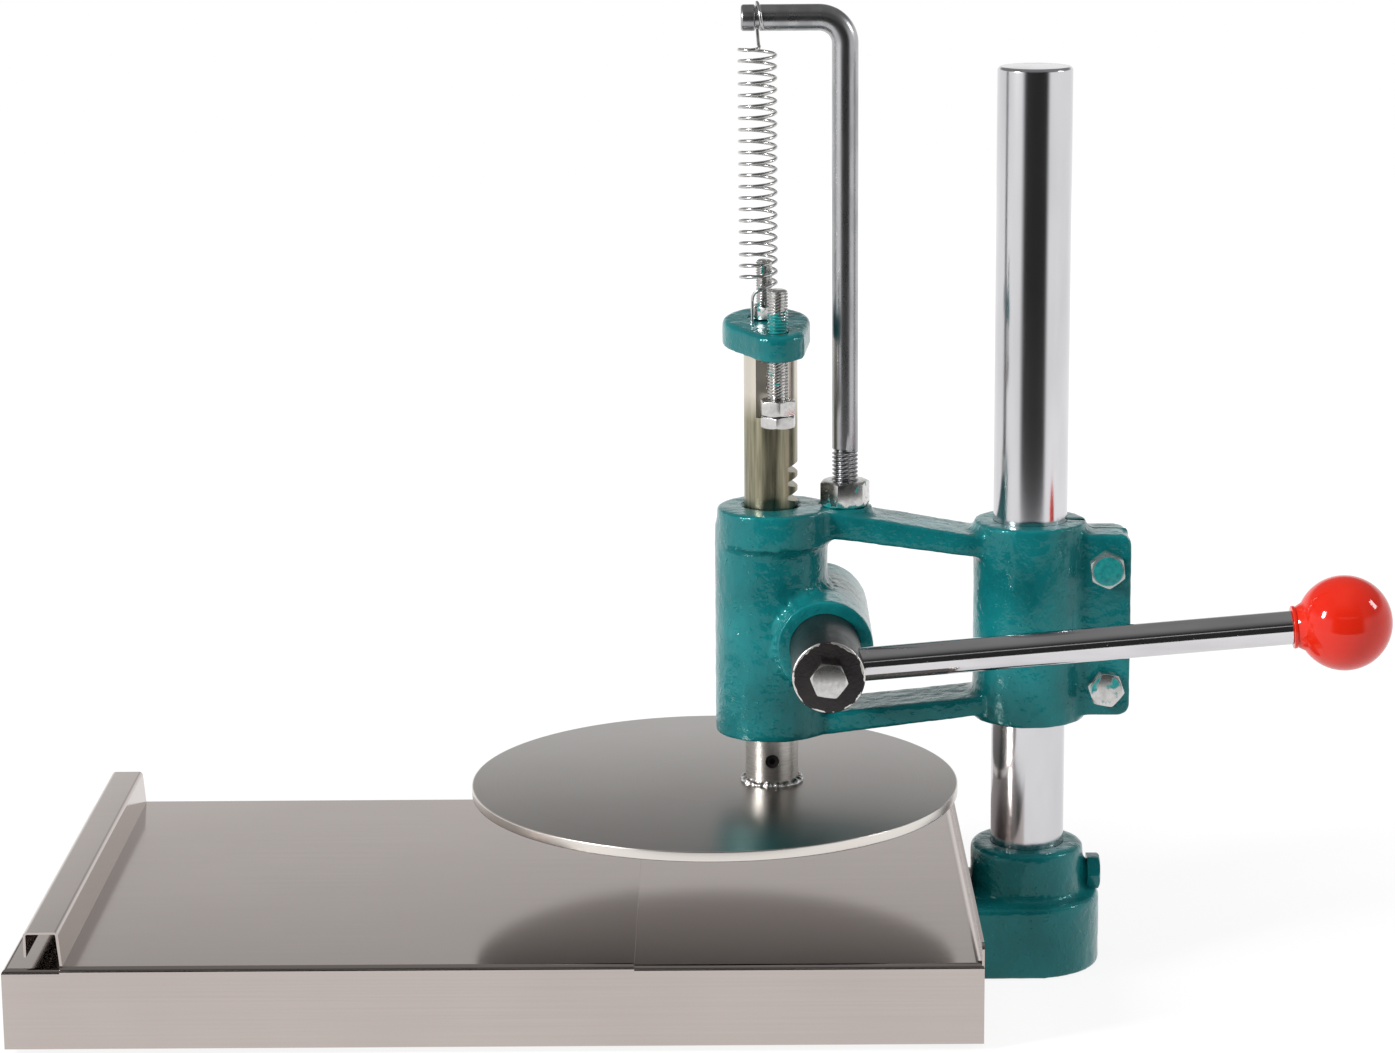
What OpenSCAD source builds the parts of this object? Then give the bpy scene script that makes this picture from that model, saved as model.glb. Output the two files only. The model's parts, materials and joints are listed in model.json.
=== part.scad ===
// Hand operated dough press: a lever turns a pinion, the pinion drives a toothed ram down,
// and the ram carries a flat round disc over a sheet steel base with a sliding tray.
// Lengths are in millimetres. Inside the modules x runs from the base's left end, y from
// its middle plane and z from its lower edge; placed() moves all of it to the part's origin.

/* [Base box] */
// Length of the sheet base, left to right
base_l = 456.4; // [430:0.1:560]
// Width of the sheet base, front to back
base_w = 268.8; // [262:0.1:330]
// Height of the sheet base
base_h = 38.9; // [36:0.1:60]
// Thickness of the sheet that the base and the tray are folded from
sheet_t = 1.2; // [0.8:0.1:1.6]
// Outer radius of the sheet's bends
bend_r = 2.6; // [2:0.1:5]
// Height of the stop lip above the base's top
lip_h = 9.6; // [4:0.1:10]
// Width of the flange folded in round the open underside
flange_w = 25; // [20:0.5:40]
// Diameter of a rubber foot
foot_d = 14; // [8:0.5:18]
// Height of a rubber foot below the sheet
foot_h = 3.1; // [2:0.1:6]

/* [Sliding tray] */
// Length of the tray's plate
tray_l = 265.4; // [200:0.1:280]
// Distance from the base's left end to the tray's plate
tray_x = 28.6; // [24:0.1:40]
// Depth of the lips folded down over the base's long edges
tray_lip = 7; // [4:0.1:12]
// Length of the bevel on the lips' lower corners
tray_bevel = 3; // [1:0.1:3.5]
// Gap between the tray's lips and the base
tray_side_gap = 0.4; // [0.2:0.1:1]
// Gap between the tray's plate and the base's top
tray_lift = 0.1; // [0.05:0.05:0.3]
// Width of the folded grip over its top
grip_w = 16.2; // [14:0.1:20]
// Height of the grip above the base's top
grip_h = 17.9; // [14:0.1:30]
// How far the grip's inner wall leans outward
grip_lean = 1.6; // [0:0.1:3]
// Height of the grip's free outer wall
grip_wall = 12.1; // [6:0.1:13]
// Outer radius of the grip's bends
grip_r = 2; // [1.6:0.1:3]

/* [Column] */
// Diameter of the pole
pole_d = 36; // [30:0.5:38]
// Height of the pole's top above the base's lower edge
pole_top = 440.7; // [400:0.1:600]
// Bevel at the pole's top edge
pole_bevel = 1.2; // [0.5:0.1:2]
// Distance from the base's right end to the pole's axis
pole_setback = 29.9; // [28.6:0.1:40]
// Diameter of the socket's foot
foot_block_d = 72; // [70:0.5:90]
// Height of the socket's foot above the table
foot_block_h = 36; // [30:0.5:50]
// Diameter of the socket's collar
collar_d = 55.6; // [54:0.1:57]
// Height of the socket's collar above its foot
collar_h = 24.6; // [20:0.1:40]
// Thickness of the socket's floor under the pole
socket_floor = 6; // [4:0.5:12]
// Radius of the socket's rounded edges
cast_r = 3; // [1:0.1:4]

/* [Head casting] */
// Distance from the pole's axis to the ram's axis
reach = 126.3; // [122:0.1:140]
// Height of the head's underside above the base's lower edge
head_z = 115.6; // [110:0.1:160]
// Height of the ram's housing
housing_h = 113.1; // [110:0.1:130]
// Diameter of the ram's housing
housing_d = 55; // [52:0.1:58]
// Height of the thicker band round the housing's top
band_h = 17.4; // [10:0.1:20]
// How far the band stands forward of the housing
band_offset = 3; // [1:0.1:5]
// Height of the pole clamp
clamp_h = 98.6; // [95:0.1:104]
// Height of the clamp's underside above the head's underside
clamp_lift = 6.2; // [4:0.1:9]
// Diameter of the pole clamp
clamp_d = 55; // [52:0.1:60]
// Width of the two arms, front to back
arm_w = 32; // [24:0.5:40]
// Thickness of the upper arm where it leaves the housing
upper_arm_t = 13.2; // [8:0.1:16]
// Thickness of the upper arm where it meets the clamp
upper_arm_end_t = 10.6; // [8:0.1:14]
// Thickness of the lower arm where it leaves the housing
lower_arm_t = 11; // [8:0.1:14]
// Thickness of the lower arm where it meets the clamp
lower_arm_end_t = 9.5; // [8:0.1:14]
// Reach of the clamp's ears from the pole's axis
ear_reach = 48.1; // [44:0.1:56]
// Height of the ears
ear_h = 90.4; // [80:0.1:92]
// Thickness of the front ear
front_ear_t = 15.4; // [10:0.1:18]
// Thickness of the back ear
back_ear_t = 10; // [8:0.1:18]
// Width of the slit between the ears
slit_w = 2; // [1.5:0.1:3]
// Height of the pinion's axis above the head's underside
pinion_h = 50.4; // [46:0.1:60]
// Diameter of the pinion's boss
pinion_boss_d = 46.6; // [44:0.1:50]
// Length of the pinion's boss in front of the middle plane
boss_front = 40; // [34:0.5:50]
// Length of the pinion's boss behind the middle plane
boss_back = 46; // [38:0.5:50]
// Diameter of the boss under the spring hanger
hanger_boss_d = 26.8; // [22:0.1:30]

/* [Ram and disc] */
// Diameter of the ram
ram_d = 26; // [24:0.1:27]
// How far the ram stands above the head at rest
ram_rise = 82.3; // [78:0.1:100]
// How far the disc's socket reaches into the housing at rest
socket_rise = 2.4; // [1:0.1:6]
// Height of the disc's socket
socket_h = 28.5; // [26:0.1:40]
// Diameter of the spigot below the ram's shoulder
spigot_d = 16; // [12:0.1:18]
// Diameter of the press disc
disc_d = 240; // [200:1:240]
// Thickness of the press disc
disc_t = 5; // [3:0.1:6]
// How far the disc's middle lies left of the ram's axis
disc_offset = 28.4; // [24:0.1:40]
// Radius of the weld bead round the disc's socket
bead_w = 3.4; // [2:0.1:5]
// Module of the rack and the pinion
gear_module = 2.25; // [2:0.05:2.3]
// Teeth of the pinion
pinion_teeth = 13; // [12:1:13]
// Length of the toothed part of the ram
rack_l = 99; // [90:0.5:102]

/* [Crank] */
// Diameter of the pinion's shaft
shaft_d = 34.3; // [34.1:0.1:36]
// How far the shaft stands out in front of its boss
shaft_out = 55; // [40:0.5:70]
// Diameter of the lever
lever_d = 16; // [12:0.1:18]
// Angle of the lever above level at rest
lever_angle = 4.7; // [0:0.1:30]
// Distance from the pinion's axis to the middle of the knob
lever_reach = 243.6; // [180:0.1:300]
// Diameter of the ball knob
knob_d = 45; // [35:0.5:50]
// Diameter of the knob's neck
knob_neck_d = 20.3; // [18:0.1:24]
// Length of the knob's neck
knob_neck_l = 4.5; // [2:0.1:8]

/* [Spring] */
// Diameter of the spring's wire
wire_d = 1.6; // [1.2:0.1:1.8]
// Outer diameter of the spring
spring_d = 19; // [18:0.1:20]
// Turns of the spring between its hooks, a whole number and a half
spring_turns = 20.5; // [14.5:1:24.5]
// Distance from the ram's axis to the spring's axis
spring_shift = 5.7; // [5.4:0.1:6]
// Diameter of the spring hanger's rod
hanger_d = 12.6; // [10:0.1:14]
// Height of the hanger's level part above the head
hanger_rise = 235.8; // [225:0.1:280]
// Distance from the ram's axis to the hanger's upright part
hanger_x = 36; // [35:0.1:40]
// Radius of the hanger's bend
hanger_bend = 12.5; // [10:0.1:25]
// How far the hanger's end reaches past the ram's axis
hanger_end = 13.5; // [12:0.1:20]

/* [Fasteners] */
// Width across flats of the M10 heads and nuts
m10_af = 16; // [15:0.1:17]
// Diameter of the M10 threads
m10_d = 10; // [9:0.1:10]
// Height of an M10 head
m10_head = 6.4; // [5:0.1:8]
// Height of an M10 nut
m10_nut = 8; // [6:0.1:9]
// Pitch of the M10 threads
m10_pitch = 1.5; // [1:0.05:2]
// Width across flats of the M8 heads and nuts
m8_af = 13; // [12:0.1:13]
// Diameter of the M8 threads
m8_d = 8; // [7:0.1:8]
// Height of an M8 head or nut
m8_nut = 6.6; // [5:0.1:7]
// Pitch of the M8 threads
m8_pitch = 1.25; // [1:0.05:1.5]
// Width across flats of the hanger's nut
hanger_nut_af = 21.6; // [19:0.1:24]
// Height of the hanger's nut
hanger_nut_h = 12.5; // [10:0.1:14]
// Pitch of the hanger's thread
hanger_pitch = 2; // [1.5:0.05:2.5]

/* [Hidden] */

$fn = 72;

// Overrun of every cut, the running fit of a shaft or slide, and the fit of a screw or
// pressed piece, as radial clearances
over = 1;
run_fit = 0.05;
screw_fit = 0.05;

// Colours
steel_colour = "#b3aaa5";
paint_colour = "#1f7a78";
chrome_colour = "#cfd0d4";
zinc_colour = "#c4c6c8";
black_colour = "#1d1b1c";
ram_colour = "#8c8264";
red_colour = "#e0301e";
rubber_colour = "#2a2a2c";

// Places along the base
pole_x = base_l + pole_setback;
ram_x = pole_x - reach;
disc_x = ram_x - disc_offset;

// Base details
lip_r = 3;
lip_inset = 0.6;
foot_inset = 17;
chassis_in_r = bend_r - sheet_t;

// Tray details
tray_z = base_h + tray_lift;
tray_half = base_w / 2 + tray_side_gap + sheet_t;
grip_top = base_h + grip_h;
grip_left = tray_x - grip_lean - grip_w;
// The tray's bends are drawn with this many points
bend_steps = 5;

// Column details
block_z = -foot_h;
block_top = block_z + foot_block_h;
collar_top = block_top + collar_h;
pole_z = block_z + socket_floor;
socket_bore_r = pole_d / 2 + run_fit;
// Height of the set bolt's axis below the collar's top
set_bolt_drop = 16.2;
// Length of the set bolt's shank that shows outside the collar
set_bolt_shows = 2;
set_bolt_z = collar_top - set_bolt_drop;
// How far its head is turned, so that a flat lies over the socket's foot
set_bolt_turn = 30;
// Half the distance between the socket's fixing bolts, their height and their length
fixing_y = 26;
fixing_z = 14;
fixing_l = 22;

// Head details
head_top = head_z + housing_h;
clamp_z = head_z + clamp_lift;
clamp_top = clamp_z + clamp_h;
ear_lift = 3.6;
ear_r = 5.5;
ear_z = clamp_z + ear_lift;
ear_x = pole_x + ear_reach;
// How far the arms' outer faces lie inside the housing's and the clamp's ends
upper_arm_drop = 0.8;
upper_arm_end_drop = 5;
lower_arm_rise = 0.8;
lower_arm_end_rise = 3.4;
// Height of the hanger's boss below the housing's top
hanger_boss_drop = 0.6;
hanger_boss_z = head_top - hanger_boss_drop;
// Places of the clamp's bolts on the ears
clamp_bolt_in = 12;
clamp_bolt_rise = 14.5;
clamp_bolt_gap = 59.3;
clamp_bolt_x = ear_x - clamp_bolt_in;
clamp_bolt_zs = [ear_z + clamp_bolt_rise, ear_z + clamp_bolt_rise + clamp_bolt_gap];
// How far each bolt's head is turned
clamp_bolt_turns = [11, 24];
clamp_washer_d = 20;
clamp_washer_t = 2;
// Radius of the fillets where the arms meet the housing and the clamp
fillet_r = 6;
// Depth and width of the bevel at the ram bore's upper end
bore_bevel = 2;

// Ram and disc details
ram_z = head_z + socket_rise;
ram_top = head_top + ram_rise;
socket_z = ram_z - socket_h;
disc_z = socket_z - disc_t;
disc_edge = 0.5;
spigot_gap = 3;
grub_d = 6.8;
grub_l = 4;
grub_key = 3;
// Height of the cross hole above the disc
cross_hole_rise = 12.6;
cross_hole_z = socket_z + cross_hole_rise;
bead_h = 3;
bead_angles = [0, 30, 60, 90];
// Length of the flat milled on the ram's front, down from its top
ram_flat_l = 37.4;
// Distance from the ram's axis to that flat
ram_flat_y = 10.8;

// Gear details
pitch_r = gear_module * pinion_teeth / 2;
gear_pitch = PI * gear_module;
// How far below the pinion's axis a space of the rack stands at rest
rack_drop = 3.05;
pinion_x = ram_x + ram_d / 2 - gear_module + pitch_r;
pinion_z = head_z + pinion_h;
pinion_y = -boss_front - shaft_out;
tooth_angle = 360 / pinion_teeth;
pressure_angle = 20;
// Depth of a tooth space below the pitch line, as a share of the module
root_share = 1.25;
// Backlash at the pitch line
backlash = 0.15;
// The pinion's tooth flank: distance from the pitch circle as a share of the module, and
// half its thickness as a share of the angle from tooth to tooth
flank_radius_share = [-1.25, -0.92, -0.7, -0.39, 0, 0.43, 0.72, 1];
flank_angle_share = [0.37, 0.28, 0.262, 0.258, 0.234, 0.172, 0.122, 0.07];
// Half the length of the pinion's teeth
gear_half = 14;
journal_y = 24;
journal_d = 20;
shaft_bevel = 1;
washer_d = 30;
washer_t = 3;
pinion_bolt_l = 18;
// How far the lever's clamp bolt is turned
clamp_turn = 8;
// Distance from the shaft's front face to the lever's axis
lever_in = 20;
lever_y = pinion_y + lever_in;
// How far the lever runs past the pinion's axis
lever_past = 5.5;
lever_hole_gap = 0.5;
stud_l = 18;
neck_end = sqrt(pow(knob_d / 2, 2) - pow(knob_neck_d / 2, 2));
neck_at = lever_reach - neck_end - knob_neck_l;

// Cap details
cap_t = 12.5;
cap_d = 42.4;
cap_shift = 2;
cap_rise = 3.4;
cap_tilt = 7.5;
// The rounding of the cap's upper edge: its size, and the steps that follow it
cap_round = 2.8;
cap_round_angles = [0, 30, 60, 90];
lobe_d = 26;
lobe_y = -20.4;
cap_z = ram_top + cap_rise;
stop_shift = 3.2;
stop_x = ram_x + stop_shift;
stop_y = -22.4;
// Gap between the stop nuts and the head at rest, which is the ram's travel
ram_travel = 42.6;
// Heights of the lower and the upper stop nut, and how far each is turned
stop_nut_hs = [5.9, 7.5];
stop_nut_turns = [24, 36];
// Gap between the two nuts, and the height at which each stands
stop_nut_gap = 0.1;
stop_nut_z = head_top + ram_travel;
stop_nut_zs = [stop_nut_z, stop_nut_z + stop_nut_hs[0] + stop_nut_gap];
stop_bolt_l = 66.6;
cap_nut_rise = 9.4;
cap_nut_z = ram_top + cap_nut_rise;
nut_seat_gap = 0.6;
cap_nut_turn = 30;
cap_stud_shift = 3;
cap_stud_in = 16;
cap_stud_out = 38;
// Place of the spring's lower hook beside the cap's nut, from the spring's axis
hook_x = -3;
hook_y = -6.2;
hook_in = 4;
hook_hole_gap = 0.2;

// Hanger details
hanger_z = head_top + hanger_rise;
hanger_thread_l = 27;
hanger_seat = 12;
hanger_bevel = 1;
hanger_nut_turn = 12;
groove_x = 6.5;
groove_w = 2.4;
groove_depth = 0.9;

// Spring details
spring_x = ram_x - spring_shift;
coil_r = (spring_d - wire_d) / 2;
// Height of the coil's lower end above the ram, and of its upper end below the hanger
coil_rise = 26.8;
coil_drop = 15;
coil_z = ram_top + coil_rise;
coil_top = hanger_z - coil_drop;
coil_pitch = (coil_top - coil_z) / spring_turns;
curl_rings = 8;
wire_sides = 6;
// Rings in the bend from the coil to a hook, in a hook's straight part and in its loop
bend_rings = 8;
loop_rings = 14;
hook_gap = 0.15;
// How far the coil's lower end bends down to its hook's straight part
hook_drop = 8.1;
// How far the coil's upper end bends up and in to its hook's shank
shank_rise = 2.2;
shank_turn = 292;
shank_r = 1.4;
// Slant of the upper hook's loop along the hanger, and the turn at which it ends
loop_slant = 2.6;
loop_end = 225;

// Depth of a thread, as a share of its pitch
thread_share = 0.45;

// The origin: the middle of the whole length, between the base's left end and the knob
knob_x = pinion_x + lever_reach * cos(lever_angle);
origin_x = (knob_x + knob_d / 2) / 2;

// Moves a piece from the base's measures to the part's own frame
module placed() {
    translate([-origin_x, 0, foot_h]) children();
}

// Points of an arc round c from angle a to angle b
function arc(c, r, a, b, n) = [
    for (i = [0:n]) c + r * [cos(a + (b - a) * i / n), sin(a + (b - a) * i / n)]
];

// Outline of a block's end: upper corners rounded
module rounded_top(w, h, r) {
    square([w, h - r]);
    translate([r, 0]) square([w - 2 * r, h]);
    for (x = [r, w - r])
        translate([x, h - r]) circle(r);
}

// An outline in x and z, extruded over the width w about the middle plane
module across(w) {
    translate([0, w / 2, 0]) rotate([90, 0, 0]) linear_extrude(w) children();
}

// An outline in y and z, extruded along x
module along(l) {
    rotate([90, 0, 90]) linear_extrude(l) children();
}

// Turns a piece built along z to point along +y
module to_back() {
    rotate([-90, 0, 0]) children();
}

// A hexagon prism with its upper edges rounded off by a cone
module hexagon(af, h) {
    corner_r = af / sqrt(3);
    step = corner_r - af / 2;
    cone_h = step / sqrt(3) * 2;
    intersection() {
        cylinder(h = h, r = corner_r, $fn = 6);
        union() {
            cylinder(h = h - cone_h, r = corner_r + over);
            translate([0, 0, h - cone_h])
                cylinder(h = cone_h, r1 = corner_r + step / 4, r2 = af / 2 - step / 2);
        }
    }
}

// A nut: a hexagon with its hole, both ends rounded off
module nut(af, h, d) {
    difference() {
        intersection() {
            hexagon(af, h);
            translate([0, 0, h]) mirror([0, 0, 1]) hexagon(af, h);
        }
        translate([0, 0, -over]) cylinder(h = h + 2 * over, r = d / 2 + screw_fit);
    }
}

// A threaded rod: grooves of the thread's pitch on a round bar, with a bevelled end
module thread(d, pitch, l) {
    depth = pitch * thread_share;
    turns = floor(l / pitch);
    rotate_extrude() polygon(concat(
        [[0, 0], [d / 2 - depth, 0]],
        [for (i = [0:turns - 1], j = [0, 1]) j == 0
            ? [d / 2 - depth, i * pitch]
            : [d / 2, (i + 1 / 2) * pitch]],
        [[d / 2 - depth, turns * pitch], [d / 2 - depth, l], [0, l]]
    ));
}

// A bolt along -z from the head's underside at z = 0; the head is above it
module bolt(af, head_h, d, l) {
    hexagon(af, head_h);
    translate([0, 0, -l]) cylinder(h = l + head_h / 2, r = d / 2);
}

// The sheet base's solid envelope
module sheet_block(l, w, h, r) {
    intersection() {
        translate([0, -w / 2, 0]) along(l) rounded_top(w, h, r);
        across(w) rounded_top(l, h, r);
    }
}

module chassis() {
    color(steel_colour) placed() {
        difference() {
            union() {
                difference() {
                    sheet_block(base_l, base_w, base_h, bend_r);
                    translate([sheet_t, 0, -over])
                        sheet_block(
                            base_l - 2 * sheet_t, base_w - 2 * sheet_t,
                            base_h - sheet_t + over, chassis_in_r
                        );
                }
                difference() {
                    translate([sheet_t / 2, sheet_t / 2 - base_w / 2, 0])
                        cube([base_l - sheet_t, base_w - sheet_t, sheet_t]);
                    translate([flange_w, flange_w - base_w / 2, -over])
                        cube([base_l - 2 * flange_w, base_w - 2 * flange_w, sheet_t + 2 * over]);
                }
                stop_lip();
            }
            for (y = [-fixing_y, fixing_y])
                translate([base_l - sheet_t - over, y, fixing_z]) rotate([0, 90, 0])
                    cylinder(h = sheet_t + 2 * over, r = m8_d / 2 + screw_fit);
        }
    }
}

// The lip at the right end that stops the tray, with the bend at its root
module stop_lip() {
    lip_w = base_w - 2 * lip_inset;
    translate([base_l - sheet_t, -lip_w / 2, base_h - bend_r])
        along(sheet_t) rounded_top(lip_w, lip_h + bend_r, lip_r);
    translate([base_l - sheet_t, 0, base_h]) mirror([1, 0, 0]) across(lip_w - 2 * lip_r)
        difference() {
            translate([-sheet_t / 2, -sheet_t / 2]) square(lip_r + sheet_t / 2);
            translate([lip_r, lip_r]) circle(lip_r);
        }
}

module base_feet() {
    color(rubber_colour) placed()
        for (x = [foot_inset, base_l - foot_inset], y = [foot_inset - base_w / 2, base_w / 2 - foot_inset])
            translate([x, y, -foot_h]) cylinder(h = foot_h, r = foot_d / 2);
}

// Outline of the folded grip, in x and z: its outer face, then its inner face
function grip_bend(cut) =
    let (
        r = grip_r - cut,
        left = grip_left + cut,
        top = grip_top - cut,
        lean = atan(grip_lean / (grip_h - grip_r)),
        right = tray_x - grip_lean - cut,
        back = r / tan((90 + lean) / 2)
    )
    concat(
        [[left, grip_top - grip_wall]],
        arc([left + r, top - r], r, 180, 90, bend_steps),
        arc([right - back, top - r], r, 90, lean, bend_steps),
        [[tray_x - cut, tray_z]]
    );

module tray() {
    inner = grip_bend(sheet_t);
    color(steel_colour) placed() {
        difference() {
            translate([tray_x - sheet_t, -tray_half, tray_z + sheet_t - tray_lip])
                along(tray_l + sheet_t) difference() {
                    rounded_top(2 * tray_half, tray_lip, bend_r);
                    translate([sheet_t, -over])
                        rounded_top(2 * (tray_half - sheet_t), tray_lip - sheet_t + over, chassis_in_r);
                }
            for (x = [tray_x - sheet_t, tray_x + tray_l])
                translate([x, 0, tray_z + sheet_t - tray_lip]) rotate([0, 45, 0])
                    cube([tray_bevel * sqrt(2), 2 * tray_half + 2 * over, tray_bevel * sqrt(2)],
                        center = true);
        }
        across(2 * tray_half - 2 * bend_r)
            polygon(concat(grip_bend(0), [for (i = [len(inner) - 1:-1:0]) inner[i]]));
    }
}

// The socket's foot: a block against the base's end, rounded about the pole
module foot_block() {
    r = foot_block_d / 2;
    translate([base_l, -r, block_z]) along(pole_setback) rounded_top(foot_block_d, foot_block_h, cast_r);
    translate([pole_x, 0, block_z]) rotate_extrude() {
        square([r, foot_block_h - cast_r]);
        square([r - cast_r, foot_block_h]);
        translate([r - cast_r, foot_block_h - cast_r]) circle(cast_r);
    }
}

module column_socket() {
    collar_r = collar_d / 2;
    color(paint_colour) placed() difference() {
        union() {
            intersection() {
                foot_block();
                translate([base_l, -foot_block_d, block_z - over])
                    cube([pole_setback + foot_block_d, 2 * foot_block_d, foot_block_h + 2 * over]);
            }
            translate([pole_x, 0, block_top - cast_r]) rotate_extrude() {
                square([collar_r, collar_h]);
                square([collar_r - cast_r, collar_h + cast_r]);
                translate([collar_r - cast_r, collar_h]) circle(cast_r);
            }
        }
        translate([pole_x, 0, pole_z]) cylinder(h = foot_block_h + collar_h, r = socket_bore_r);
        translate([pole_x, 0, set_bolt_z]) rotate([0, 90, 0])
            cylinder(h = foot_block_d, r = m10_d / 2 + screw_fit);
        for (y = [-fixing_y, fixing_y])
            translate([base_l - over, y, fixing_z]) rotate([0, 90, 0])
                cylinder(h = fixing_l + over, r = m8_d / 2 + screw_fit);
    }
}

module socket_bolts() {
    color(zinc_colour) placed()
        for (y = [-fixing_y, fixing_y])
            translate([base_l - sheet_t, y, fixing_z]) rotate([0, -90, 0])
                bolt(m8_af, m8_nut, m8_d, fixing_l + sheet_t - over);
}

module socket_set_bolt() {
    head_x = collar_d / 2 + set_bolt_shows;
    color(paint_colour) placed()
        translate([pole_x + head_x, 0, set_bolt_z]) rotate([0, 90, 0])
            rotate([0, 0, set_bolt_turn]) bolt(m10_af, m10_head, m10_d, head_x - pole_d / 2 - screw_fit);
}

module pole() {
    pole_l = pole_top - pole_z;
    r = pole_d / 2;
    color(chrome_colour) placed() translate([pole_x, 0, pole_z]) rotate_extrude()
        polygon([[0, 0], [r, 0], [r, pole_l - pole_bevel], [r - pole_bevel, pole_l], [0, pole_l]]);
}

// Fillet in plan between a round boss at c and the flat side of an arm, on the +x side
module fillet(c, r) {
    y = -arm_w / 2 - fillet_r;
    x = c[0] + sqrt(pow(r + fillet_r, 2) - pow(c[1] - y, 2));
    difference() {
        polygon([c, [x, y], [x, 0]]);
        translate([x, y]) circle(fillet_r);
    }
}

// Plan of both arms, with the fillets at their ends
module arm_plan(c_ram, r_ram) {
    translate([ram_x, -arm_w / 2]) square([pole_x - ram_x, arm_w]);
    for (side = [0, 1]) {
        fillet_c = side == 0 ? c_ram : [c_ram[0], -c_ram[1]];
        mirror([0, side, 0]) fillet(fillet_c, r_ram);
        translate([pole_x, 0]) mirror([1, 0, 0]) mirror([0, side, 0]) fillet([0, 0], clamp_d / 2);
    }
}

// One arm, from the ram's axis to the pole's: its plan, cut to its side view
module arm(z_ram, t_ram, z_pole, t_pole, c_ram, r_ram) {
    x_ram = ram_x + housing_d / 2;
    x_pole = pole_x - clamp_d / 2;
    intersection() {
        translate([0, 0, head_z]) linear_extrude(housing_h) arm_plan(c_ram, r_ram);
        across(arm_w + 4 * fillet_r) polygon([
            [ram_x, z_ram], [x_ram, z_ram], [x_pole, z_pole], [pole_x, z_pole],
            [pole_x, z_pole + t_pole], [x_pole, z_pole + t_pole],
            [x_ram, z_ram + t_ram], [ram_x, z_ram + t_ram]
        ]);
    }
}

// A round post of radius r and height h with its upper edge rounded
module round_post(r, h, edge) {
    rotate_extrude() {
        square([r, h - edge]);
        square([r - edge, h]);
        translate([r - edge, h - edge]) circle(edge);
    }
}

// One ear of the clamp, with rounded outer corners
module ear(t) {
    intersection() {
        across(2 * t) union() {
            translate([pole_x, ear_z]) square([ear_reach - ear_r, ear_h]);
            translate([pole_x, ear_z + ear_r]) square([ear_reach, ear_h - 2 * ear_r]);
            for (z = [ear_z + ear_r, ear_z + ear_h - ear_r])
                translate([ear_x - ear_r, z]) circle(ear_r);
        }
        translate([0, 0, ear_z - over]) cube([ear_x + over, t, ear_h + 2 * over]);
    }
}

module head_casting() {
    upper_z = head_top - upper_arm_drop - upper_arm_t;
    upper_end_z = clamp_top - upper_arm_end_drop - upper_arm_end_t;
    lower_z = head_z + lower_arm_rise;
    lower_end_z = clamp_z + lower_arm_end_rise;
    bore_r = shaft_d / 2 + run_fit;
    ram_bore_r = ram_d / 2 + run_fit;
    band_c = [ram_x + band_offset / 2, -band_offset];
    band_r = housing_d / 2 + band_offset / 6;
    color(paint_colour) placed() difference() {
        union() {
            translate([ram_x, 0, head_z]) cylinder(h = housing_h - band_h / 2, r = housing_d / 2);
            translate([band_c[0], band_c[1], head_top - band_h]) round_post(band_r, band_h, cast_r / 2);
            translate([pole_x, 0, clamp_z]) round_post(clamp_d / 2, clamp_h, cast_r / 3);
            arm(upper_z, upper_arm_t, upper_end_z, upper_arm_end_t, band_c, band_r);
            arm(lower_z, lower_arm_t, lower_end_z, lower_arm_end_t, [ram_x, 0], housing_d / 2);
            translate([pinion_x, -boss_front, pinion_z]) to_back()
                cylinder(h = boss_front + boss_back, r = pinion_boss_d / 2);
            translate([ram_x + hanger_x, 0, upper_z])
                cylinder(h = hanger_boss_z - upper_z, r = hanger_boss_d / 2);
            mirror([0, 1, 0]) ear(front_ear_t + slit_w / 2);
            ear(back_ear_t + slit_w / 2);
        }
        translate([ram_x, 0, head_z - over]) cylinder(h = housing_h + 2 * over, r = ram_bore_r);
        translate([ram_x, 0, head_top]) rotate_extrude()
            polygon([
                [0, -bore_bevel], [ram_bore_r, -bore_bevel],
                [ram_bore_r + bore_bevel, 0], [ram_bore_r + bore_bevel, over], [0, over]
            ]);
        translate([pole_x, 0, clamp_z - over]) cylinder(h = clamp_h + 2 * over, r = socket_bore_r);
        translate([pole_x, -slit_w / 2, clamp_z - over])
            cube([ear_reach + over, slit_w, clamp_h + 2 * over]);
        translate([pinion_x, -boss_front - over, pinion_z]) to_back()
            cylinder(h = boss_front + journal_y + over, r = bore_r);
        translate([pinion_x, 0, pinion_z]) to_back()
            cylinder(h = boss_back + over, r = journal_d / 2 + run_fit);
        translate([ram_x + hanger_x, 0, hanger_boss_z - hanger_seat])
            cylinder(h = hanger_seat + over, r = hanger_d / 2 + screw_fit);
        translate([ram_x + hanger_x, 0, hanger_boss_z])
            cylinder(h = hanger_boss_drop + over, r = hanger_nut_af / sqrt(3) + nut_seat_gap);
        for (z = clamp_bolt_zs)
            translate([clamp_bolt_x, -front_ear_t - slit_w, z]) to_back()
                cylinder(h = 2 * front_ear_t + 2 * back_ear_t, r = m10_d / 2 + screw_fit);
    }
}

module clamp_bolts() {
    grip = front_ear_t + slit_w + back_ear_t + clamp_washer_t;
    color(zinc_colour) placed()
        for (i = [0, 1])
            translate([clamp_bolt_x, -front_ear_t - slit_w / 2, clamp_bolt_zs[i]])
                rotate([90, clamp_bolt_turns[i], 0])
                bolt(m10_af, m10_head, m10_d, grip + m10_nut + m10_pitch);
}

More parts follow.
